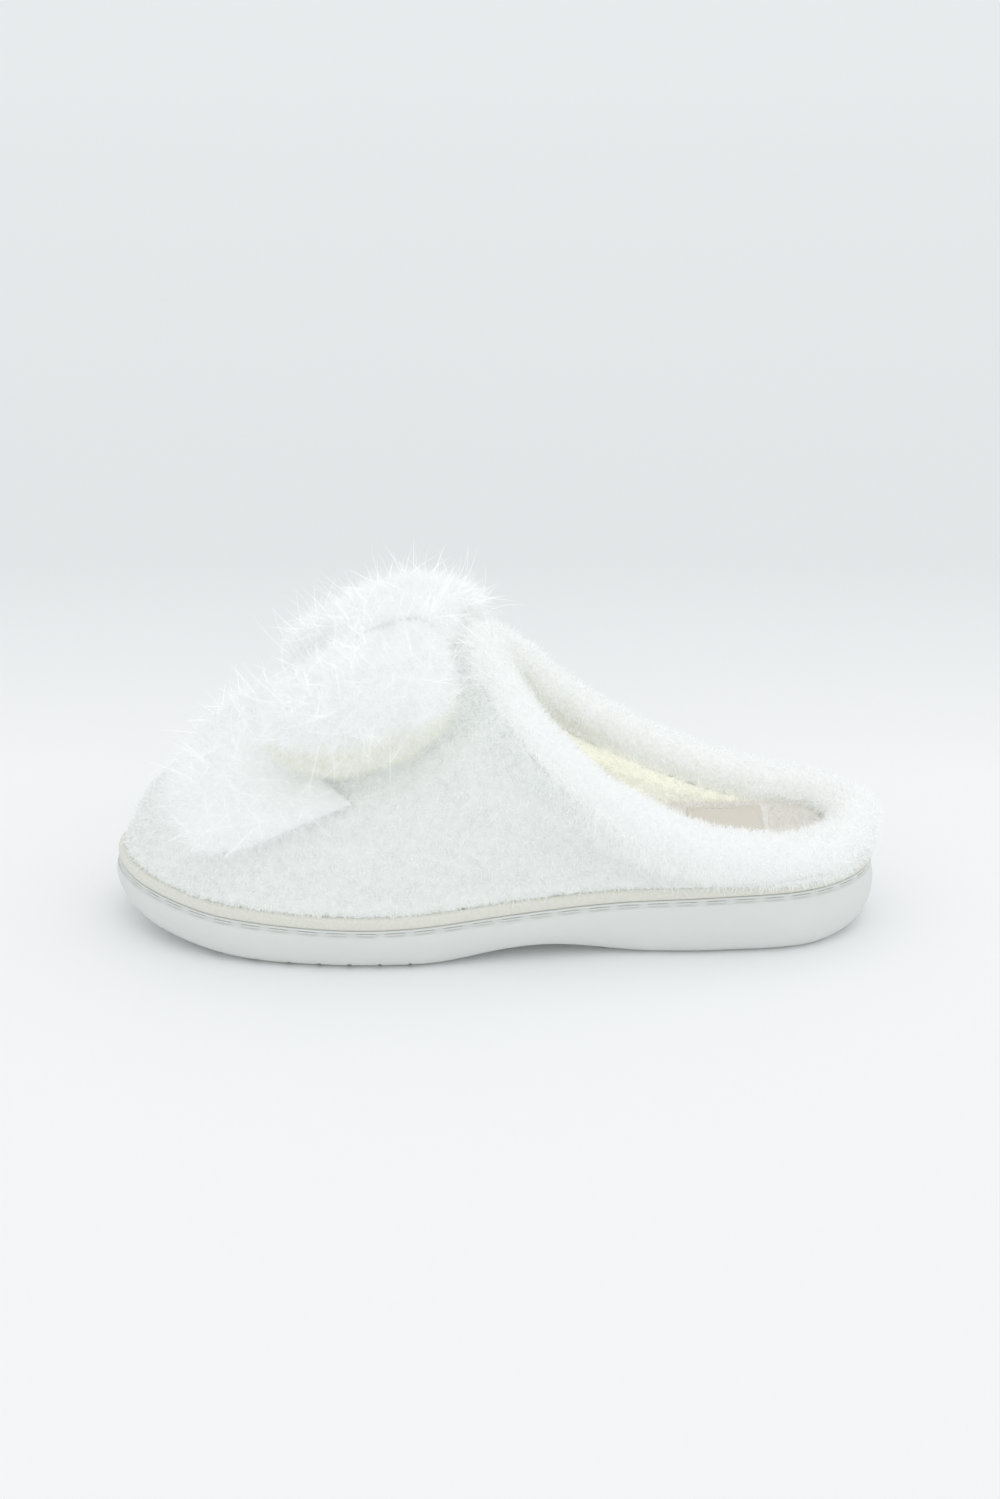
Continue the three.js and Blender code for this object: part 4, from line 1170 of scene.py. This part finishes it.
class SLIPPER_OT_label(bpy.types.Operator):
    """Blank woven label sewn to the heel of the footbed, with its stitches"""

    bl_idname = "slipper.label"
    bl_label = "Footbed label"

    def execute(self, context):
        colour = colours(context)
        half_long, half_wide = (LABEL["end"] - LABEL["start"]) / 2, LABEL["width"] / 2
        centre = (LABEL["end"] + LABEL["start"]) / 2
        u, v = np.meshgrid(np.linspace(-1, 1, 51), np.linspace(-1, 1, 43), indexing="ij")
        x, y = centre + u * half_long, v * half_wide
        # Slightly sunk along the stitch line and curled up at the very edge.
        rim = np.minimum((1 - np.abs(u)) * half_long, (1 - np.abs(v)) * half_wide)
        sunk = 0.25 * np.exp(-(((rim - LABEL["stitch_inset"]) / 0.55) ** 2))
        z = footbed_top(x) + 0.75 - sunk + 0.12 * cloudy(np.stack([x, y, 0 * x], -1), 6, 61)
        half_thick = LABEL["thickness"] / 2
        points, quads = slab(np.stack([x, y, z + half_thick], -1), np.stack([x, y, z - half_thick], -1))
        material = woven_finish("label_weave", colour["label"])
        label = surface_piece("label", points, quads, material, "label", "sock_label")
        self.stitches(centre, half_long, half_wide, colour["thread"])
        return {"FINISHED"}

    def stitches(self, centre, half_long, half_wide, colour):
        """Short arched stitches on a rectangle a little inside the label's edge."""
        a, b = half_long - LABEL["stitch_inset"], half_wide - LABEL["stitch_inset"]
        corner = np.array([(-a, -b), (a, -b), (a, b), (-a, b), (-a, -b)])
        lengths = measured(corner)
        count, s = LABEL["stitches"], np.linspace(0, 1, 9)
        at = ((np.arange(count)[:, None] + 0.14 + 0.72 * s) / count * lengths[-1]).ravel()
        flat, near = pick(corner, lengths, at), 0.02
        after, before = np.minimum(at + near, lengths[-1]), at - near
        ahead = unit(pick(corner, lengths, after) - pick(corner, lengths, before))
        x = centre + flat[:, 0]
        line = np.stack([x, flat[:, 1], footbed_top(x) + 0.85], -1).reshape(count, len(s), 3)
        line[..., 2] += 0.28 * np.sin(np.pi * s) ** 0.6 - 0.1
        side = np.stack([-ahead[:, 1], ahead[:, 0], 0 * ahead[:, 0]], -1).reshape(count, len(s), 1, 3)
        points, quads = stitch_tubes(line, side, np.array([0.17]), full_turn(6))
        surface_piece("label_stitches", points, quads, thread_finish("label_thread", colour), "thread")


# ---------------------------------------------------------------- bow


def oval(x, y, z, half_length, half_height, turn, power=0.78):
    """Ovals that lean with the vamp: cosine and sine raised to a power, turned by the bow's tilt."""
    a, b = half_length * squarish(np.cos(turn), power), half_height * squarish(np.sin(turn), power)
    return leaned(x, y, z, a, b, BOW_TILT)


def leaned(x, y, z, a, b, lean):
    """Points at a along and b up from (x, y, z), both turned by the lean about the cross direction."""
    c, s = np.cos(lean), np.sin(lean)
    return np.stack([x + a * c - b * s, y + 0 * a, z + a * s + b * c], -1)


def loop_skin(side):
    """One stuffed bow loop: ovals along the loop, gathered by folds at the knot, dented along the
    middle of its top and swollen unevenly."""
    tip = 45 + 4.2 * np.sin(np.linspace(0.12, 0.5, 14) * np.pi)
    out = np.concatenate([np.linspace(2, 45, 52), tip])[:, None]
    turn = full_turn(96)[None]
    x, z, long_, high = (along(LOOP_SECTIONS[:, [0, k]], out) for k in (1, 2, 3, 4))
    # The outer end closes like an oval.
    end = np.clip((out - LOOP_END) / 7.2, 0, 1)
    full = np.sqrt(np.maximum(1 - end**2.4, 0.0004))
    body, thick = (along(LOOP_SECTIONS[:6, [0, k]], np.minimum(out, LOOP_END)) for k in (3, 4))
    long_ = np.where(out > LOOP_END, body * full, long_)
    high = np.where(out > LOOP_END, thick * full, high)
    if side > 0:
        x = x + MEDIAL_LOOP_SWING * smooth((out - 14) / 14)
    # The ground of the plush lies inside the loop's outline by the depth of its fur. Away from the knot
    # the loops sag: the lateral one swells downward, the medial one lies longer.
    hang, sag = smooth((out - 16) / 22), LOOP_SAG[side]
    long_ = np.maximum(long_ - 2 * FUR_DEPTH - (-sag["length"] - 2 * FUR_DEPTH) * hang, 3)
    high = np.maximum(high - 2 * FUR_DEPTH - (-sag["height"] - 2 * FUR_DEPTH) * hang, 2)
    z = z - FUR_DEPTH - (sag["drop"] - FUR_DEPTH) * hang
    power = 0.78 + 0.1 * smooth((out - 30) / 20)
    gather = np.exp(-np.maximum(out - 15, 0) / 9.0)
    folds = np.sin(4 * turn + 0.6 * side) + 0.6 * np.sin(7 * turn + 1.9 + 0.02 * out)
    # The crease on the top and bottom runs out from the knot and fades before the tip.
    crease = np.exp(-((np.cos(turn) / 0.34) ** 2)) * smooth((out - 12) / 8) * (1 - smooth((out - 24) / 16))
    swell = 1 + 0.055 * gather * folds
    a = long_ / 2 * swell * squarish(np.cos(turn), power)
    b = high / 2 * (swell - 0.2 * crease) * squarish(np.sin(turn), power)
    # The medial loop leans a little more.
    lean = BOW_TILT + (np.radians(2) * smooth((out - 12) / 16) if side > 0 else 0)
    return leaned(x, side * out, z, a, b, lean)


def closed_tube(skin):
    """Points and quads of a stack of rings with a point in the middle of each end."""
    rows, columns = skin.shape[:2]
    ends = np.stack([skin[0].mean(0), skin[-1].mean(0)])
    points = np.concatenate([skin.reshape(-1, 3), ends])
    n = rows * columns
    first, last = cap(0, columns, n)[:, [1, 0, 2, 3]], cap((rows - 1) * columns, columns, n + 1)
    return points, np.concatenate([bands(rows, columns), first, last])


def soft_relief(skin, seed, deep=1.0):
    """Stuffing and plush together: slow swells of the filling and small lumps of the pile's ground."""
    stuffing = 0.8 * cloudy(skin, 17, seed) + 0.5 * cloudy(skin, 8, seed + 1)
    return deep * stuffing + 0.35 * knobbly(skin, 2.6, seed + 2) - 0.1


class SLIPPER_OT_bow(bpy.types.Operator):
    """Stuffed bow: two loops, the band round their middle and two loose tails"""

    bl_idname = "slipper.bow"
    bl_label = "Bow"

    def execute(self, context):
        material = plush_finish("bow_plush", colours(context)["bow"], 1.8, 0.95)
        for name, side in SIDES.items():
            skin = loop_skin(side)
            n = facing(grid_normals(skin), skin - skin.mean((0, 1)))
            skin = raised(skin, n, soft_relief(skin, 70 + side) * smooth((np.abs(skin[..., 1]) - 10) / 10))
            points, quads = closed_tube(skin)
            loop = surface_piece(
                f"bow_loop_{name}_plush", points, quads, material, "bow_plush",
                f"bow_loop_{name}", f"bow_filling_{name}")
            tail = self.tail(name, side, material)
        self.knot(material)
        return {"FINISHED"}

    def knot(self, material):
        """The band: a flat rounded section carried round an oval, with folds across its width."""
        turn, section = full_turn(128)[None], full_turn(56)[:, None]
        out = 1.15 * KNOT["width"] / 2 * squarish(np.cos(section), 0.75)
        grow = 2.5 * (squarish(np.sin(section), 0.8) - 1)
        bulge = 1.8 * (1 - (out / 15) ** 2)
        folds = 0.55 * np.sin(out * 0.75 + 1.1 * np.sin(turn)) * smooth(np.sin(section) * 2)
        reach = grow + (bulge + folds) * (np.sin(section) > 0)
        half_length, half_height = KNOT["length"] / 2 - 1 + reach, KNOT["height"] / 2 - 2.5 + reach
        band = oval(KNOT["x"], out + 0 * turn, KNOT["z"] - 1.0, half_length, half_height, turn)
        n, outermost = grid_normals(band), section.size // 4
        n *= np.sign((n[outermost] * (band[outermost] - band.mean((0, 1)))).sum())
        points = raised(band, n, 0.5 * soft_relief(band, 80)).reshape(-1, 3)
        quads = bands(section.size, turn.size, True)
        return surface_piece("bow_knot_plush", points, quads, material, "bow_plush", "bow_knot")

    def tail(self, name, side, material):
        """A loose end: a patch of the upper's own surface, lifted off it, thick in the middle and
        rounded at its edges, with its free end standing a little further off."""
        u, w = np.meshgrid(np.linspace(-1, 1, 60), np.linspace(-1, 1, 56), indexing="ij")
        # The shares k along the tail and j across it are drawn in at the corners of its free end.
        k, j = ((1 + a * np.sqrt(1 - 0.25 * b**2 * (u > 0))) / 2 for a, b in ((u, w), (w, u)))
        mix = lambda a, b, t: a + (b - a) * t
        at_root, at_tip = ([mix(*pair, j) for pair in zip(*ends)] for ends in (TAIL_ROOT, TAIL_TIP))
        ring_point, row = (mix(a, b, k) for a, b in zip(at_root, at_tip))
        ring_point = ring_point + (0.9 * k if side > 0 else 0)
        row = row - TAIL_DROOP * np.sin(np.pi * k) * j
        station = SOLE_LENGTH / 2 * (1 - np.cos(2 * np.pi * ring_point / CAD_RING))
        half = np.linspace(0, 0.5, 2001)
        around = half if side < 0 else -half
        share = np.interp(station, plan(around)[:, 0], half) * (1 if side < 0 else -1)
        edge = (1 - np.abs(u) ** 5) * (1 - np.abs(w) ** 5)
        pad = np.clip(edge, 0, 1) ** 0.6 * (0.55 + 0.45 * smooth(k / 0.45))
        flare = 2.0 * k**3 + 0.9 * j**4 * k + 0.5 * np.sin(5 * j + 1) * k**2
        if side > 0:
            flare = 0.5 * flare - 3.2 * k
        # The root sinks under the loop, which leaves a crease above it.
        flare -= 2.2 * (1 - smooth(k / 0.42))
        steps = 100

        def sample(away):
            """Points of a layer of the wall between its rows and lines, weighted by the distances."""
            layer = WALL_LINES.layer(away, np.linspace(0, 1, steps + 1))
            r, c = row * steps, (share % 1) * layer.shape[1]
            r0, c0 = np.floor(r).astype(int), np.floor(c).astype(int)
            fr, fc = (r - r0)[..., None], (c - c0)[..., None]
            at = lambda a, b: layer[a, b % layer.shape[1]]
            here = (1 - fc) * at(r0, c0) + fc * at(r0, c0 + 1)
            next_row = (1 - fc) * at(r0 + 1, c0) + fc * at(r0 + 1, c0 + 1)
            return (1 - fr) * here + fr * next_row

        low, high = sample(TAIL_LIFT), sample(TAIL_LIFT + TAIL_THICKNESS)
        n = unit(high - low)
        middle = (low + high) / 2 + n * flare[..., None]
        height = TAIL_THICKNESS / 2 * pad + 0.08
        top = middle + n * (height + soft_relief(middle, 90 + side, 0.5) * pad)[..., None]
        points, quads = slab(top, middle - n * height[..., None])
        return surface_piece(f"bow_tail_{name}_plush", points, quads, material, "bow_plush", f"bow_tail_{name}")


class SLIPPER_OT_bow_fur(bpy.types.Operator):
    """Fine hairs and glittering strands all over the bow"""

    bl_idname = "slipper.bow_fur"
    bl_label = "Bow fur and tinsel"

    def execute(self, context):
        size, colour = sizes(context), colours(context)
        rng = np.random.default_rng(25)
        # The bow's fur glows faintly: painted light.
        fur = pile_finish("bow_fur", colour["bow"], 0.3, 0.955, 2.2, 0.024)
        # A darker, yellower cream of the lining's colour is painted shade for the fur under the loops.
        painted_shade_colour = tuple(np.array(colour["lining"])[:3] * (0.955, 0.965, 0.92))
        painted_shade_fur = pile_finish("bow_fur_shaded", painted_shade_colour, 0.2, 0.93, 2.2, 0)
        film = tinsel_finish("tinsel", colour["tinsel"])
        shares = {
            "bow_loop_lateral": 1.0, "bow_loop_medial": 1.0, "bow_knot": 0.5,
            "bow_tail_lateral": 0.5, "bow_tail_medial": 0.5,
        }
        strands, fine = [], size["fur_length"]
        for name, share in shares.items():
            points, n, triangles = read_back(bpy.data.objects[name + "_plush"])
            if "loop" in name:
                # The inner end of a loop is inside the knot.
                triangles = triangles[np.abs(points[triangles[:, 0], 1]) > 11]
            count = size["fur_count"] * share
            roots, normals = scatter(points, n, triangles, int(count), rng)
            comb = (-0.16, 0, -0.2) if "tail" in name else (-0.04, 0, -0.04)
            long_ = fine * (1 + 0.35 * normals[:, 2])
            if "tail" in name:
                long_ = long_ * (0.55 + 0.7 * smooth((86 - roots[:, 0]) / 30))
            hair = fibres(roots, normals, rng, long_, 0.085, lean=0.9, curl=1.6, comb=comb, sink=0.4)
            # Thicker short hairs between the fine ones, and a few very long ones over them.
            roots, normals = scatter(points, n, triangles, int(count / 2), rng)
            under = fibres(roots, normals, rng, 0.5 * fine, 0.22, lean=0.8, curl=2.2, steps=2)
            upper = np.flatnonzero(normals[:, 2] > -0.25)[: int(count / 5)]
            halo = fibres(
                roots[upper], normals[upper], rng, 1.8 * fine, 0.06, lean=0.6, curl=1.0, comb=comb, sink=0.4)
            if "loop" in name:
                # The fur low on a loop takes a darker cream copy of the fur's finish: painted shade under the
                # loop.
                low = hair[:, -1, 2] < np.interp(hair[:, 0, 0], *self.under_edge(points))
                fibre_piece(name + "_fur_under", [hair[low]], painted_shade_fur, "bow_plush")
                hair = hair[~low]
            fibre_piece(name + "_fur", [hair, under, halo], fur, "bow_plush")
            roots, normals = scatter(points, n, triangles, int(size["tinsel_count"] * share / 3.5), rng)
            up = normals[:, 2] > -0.1
            strands.append(fibres(
                roots[up], normals[up], rng, size["tinsel_length"], 0.09,
                lean=1.3, curl=0.9, comb=(-0.03, 0, 0.03), steps=4, sink=0.4))
        strands = np.concatenate(strands)
        x, y, z = np.moveaxis(strands, -1, 0)
        fits = (z.max(1) < TINSEL_ROOM["top"]) & (z.min(1) > TINSEL_ROOM["bottom"])
        fits &= (x.min(1) > TINSEL_ROOM["front"]) & (np.abs(y).max(1) < TINSEL_ROOM["side"])
        fibre_piece("bow_tinsel", [strands[fits]], film, "bow_plush")
        return {"FINISHED"}

    def under_edge(self, points):
        """Height along a loop below which its fur takes the painted shade: three tenths of the way up it."""
        points = points[np.abs(points[:, 1]) > 20]
        x = np.linspace(points[:, 0].min(), points[:, 0].max(), 24)
        slices = [points[np.abs(points[:, 0] - at) < 3, 2] for at in x]
        low, high = (np.array([find(heights) for heights in slices]) for find in (np.min, np.max))
        return x, low + 0.3 * (high - low)


# ---------------------------------------------------------------- inside parts and stage


class SLIPPER_OT_inside(bpy.types.Operator):
    """Finishes of the foam, board, thread and filling inside, which keep their CAD shapes"""

    bl_idname = "slipper.inside"
    bl_label = "Inside parts"

    def execute(self, context):
        colour = colours(context)
        foam = foam_finish("inside_foam", colour["foam"])
        board = foam_finish("insole_fibreboard", tone(colour["foam"], 0.85), 1.6)
        felt = foam_finish("stiffener_felt", tone(colour["foam"], 0.95), 0.5)
        thread = thread_finish("inside_thread", colour["thread"])
        finishes = {
            "midsole_foam": foam, "footbed_cushion": foam, "upper_padding": foam, "collar_core": foam,
            "insole_board": board, "toe_stiffener": felt, "lasting_thread": thread, "bow_bartack": thread,
        }
        for name, material in finishes.items():
            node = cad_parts[name]
            node.data.materials.clear()
            node.data.materials.append(material)
        return {"FINISHED"}


class SLIPPER_OT_stage(bpy.types.Operator):
    """Pale studio floor, soft light from above and all round, and the camera"""

    bl_idname = "slipper.stage"
    bl_label = "Stage"

    def execute(self, context):
        colour, scene = colours(context), context.scene
        mesh = bpy.data.meshes.new("floor")
        reach, low = 9.0, CAD_BOX[0].z
        corners = [(x * reach, y * reach, low) for x, y in ((-1, -1), (1, -1), (1, 1), (-1, 1))]
        mesh.from_pydata(corners, [], [(0, 1, 2, 3)])
        floor = bpy.data.objects.new("floor", mesh)
        scene.collection.objects.link(floor)
        floor.data.materials.append(floor_finish("studio_floor", colour["floor"], colour["backdrop"]))
        world = bpy.data.worlds.new("studio")
        world.use_nodes = True
        back = world.node_tree.nodes["Background"]
        back.inputs["Color"].default_value = (0.975, 0.988, 1.0, 1)
        back.inputs["Strength"].default_value = 0.86
        scene.world = world
        self.lamp(scene, "softbox", towards=(0.25, -0.35, 1.0), spread=110, strength=0.55)
        lens = bpy.data.cameras.new("camera")
        lens.lens, lens.sensor_width = CAMERA["lens"], CAMERA["sensor"]
        lens.clip_start, lens.clip_end = 0.05, 60
        camera = bpy.data.objects.new("camera", lens)
        camera.location = CAMERA["place"]
        camera.rotation_euler = (np.radians(CAMERA["tilt"]), 0, 0)
        scene.collection.objects.link(camera)
        scene.camera = camera
        scene.view_settings.view_transform = "Standard"
        scene.cycles.max_bounces, scene.cycles.diffuse_bounces = 20, 16
        return {"FINISHED"}

    def lamp(self, scene, name, towards, spread, strength):
        """Even light from one direction, as wide as a softbox."""
        light = bpy.data.lights.new(name, "SUN")
        light.angle, light.energy = np.radians(spread), strength
        lamp = bpy.data.objects.new(name, light)
        lamp.rotation_euler = Vector(towards).to_track_quat("Z", "Y").to_euler()
        scene.collection.objects.link(lamp)


# ---------------------------------------------------------------- panel and order of work

OPERATORS = (
    SLIPPER_OT_outsole, SLIPPER_OT_welt, SLIPPER_OT_stitches, SLIPPER_OT_upper, SLIPPER_OT_lining,
    SLIPPER_OT_collar, SLIPPER_OT_footbed, SLIPPER_OT_label, SLIPPER_OT_bow, SLIPPER_OT_bow_fur,
    SLIPPER_OT_inside, SLIPPER_OT_stage,
)


class SLIPPER_PT_panel(bpy.types.Panel):
    """Lists the slipper's sizes, colours and pieces"""

    bl_idname = "SLIPPER_PT_panel"
    bl_label = "Plush Slipper"
    bl_space_type = "VIEW_3D"
    bl_region_type = "UI"
    bl_category = "Slipper"

    def draw(self, context):
        scene = context.scene
        for title, held in (("Sizes", scene.slipper_sizes), ("Colours", scene.slipper_colours)):
            box = self.layout.box()
            box.label(text=title)
            for key in held.__annotations__:
                box.prop(held, key)
        for operator in OPERATORS:
            self.layout.operator(operator.bl_idname)


CLASSES = (SlipperSizes, SlipperColours, *OPERATORS, SLIPPER_PT_panel)


def register():
    """Adds the classes, and the sizes and colours to the scene."""
    for cls in CLASSES:
        bpy.utils.register_class(cls)
    bpy.types.Scene.slipper_sizes = bpy.props.PointerProperty(type=SlipperSizes)
    bpy.types.Scene.slipper_colours = bpy.props.PointerProperty(type=SlipperColours)


def unregister():
    """Takes them away again."""
    del bpy.types.Scene.slipper_sizes, bpy.types.Scene.slipper_colours
    for cls in reversed(CLASSES):
        bpy.utils.unregister_class(cls)


def main():
    """Makes every piece in order."""
    register()
    for operator in OPERATORS:
        group, name = operator.bl_idname.split(".")
        getattr(getattr(bpy.ops, group), name)()


if __name__ == "__main__":
    main()
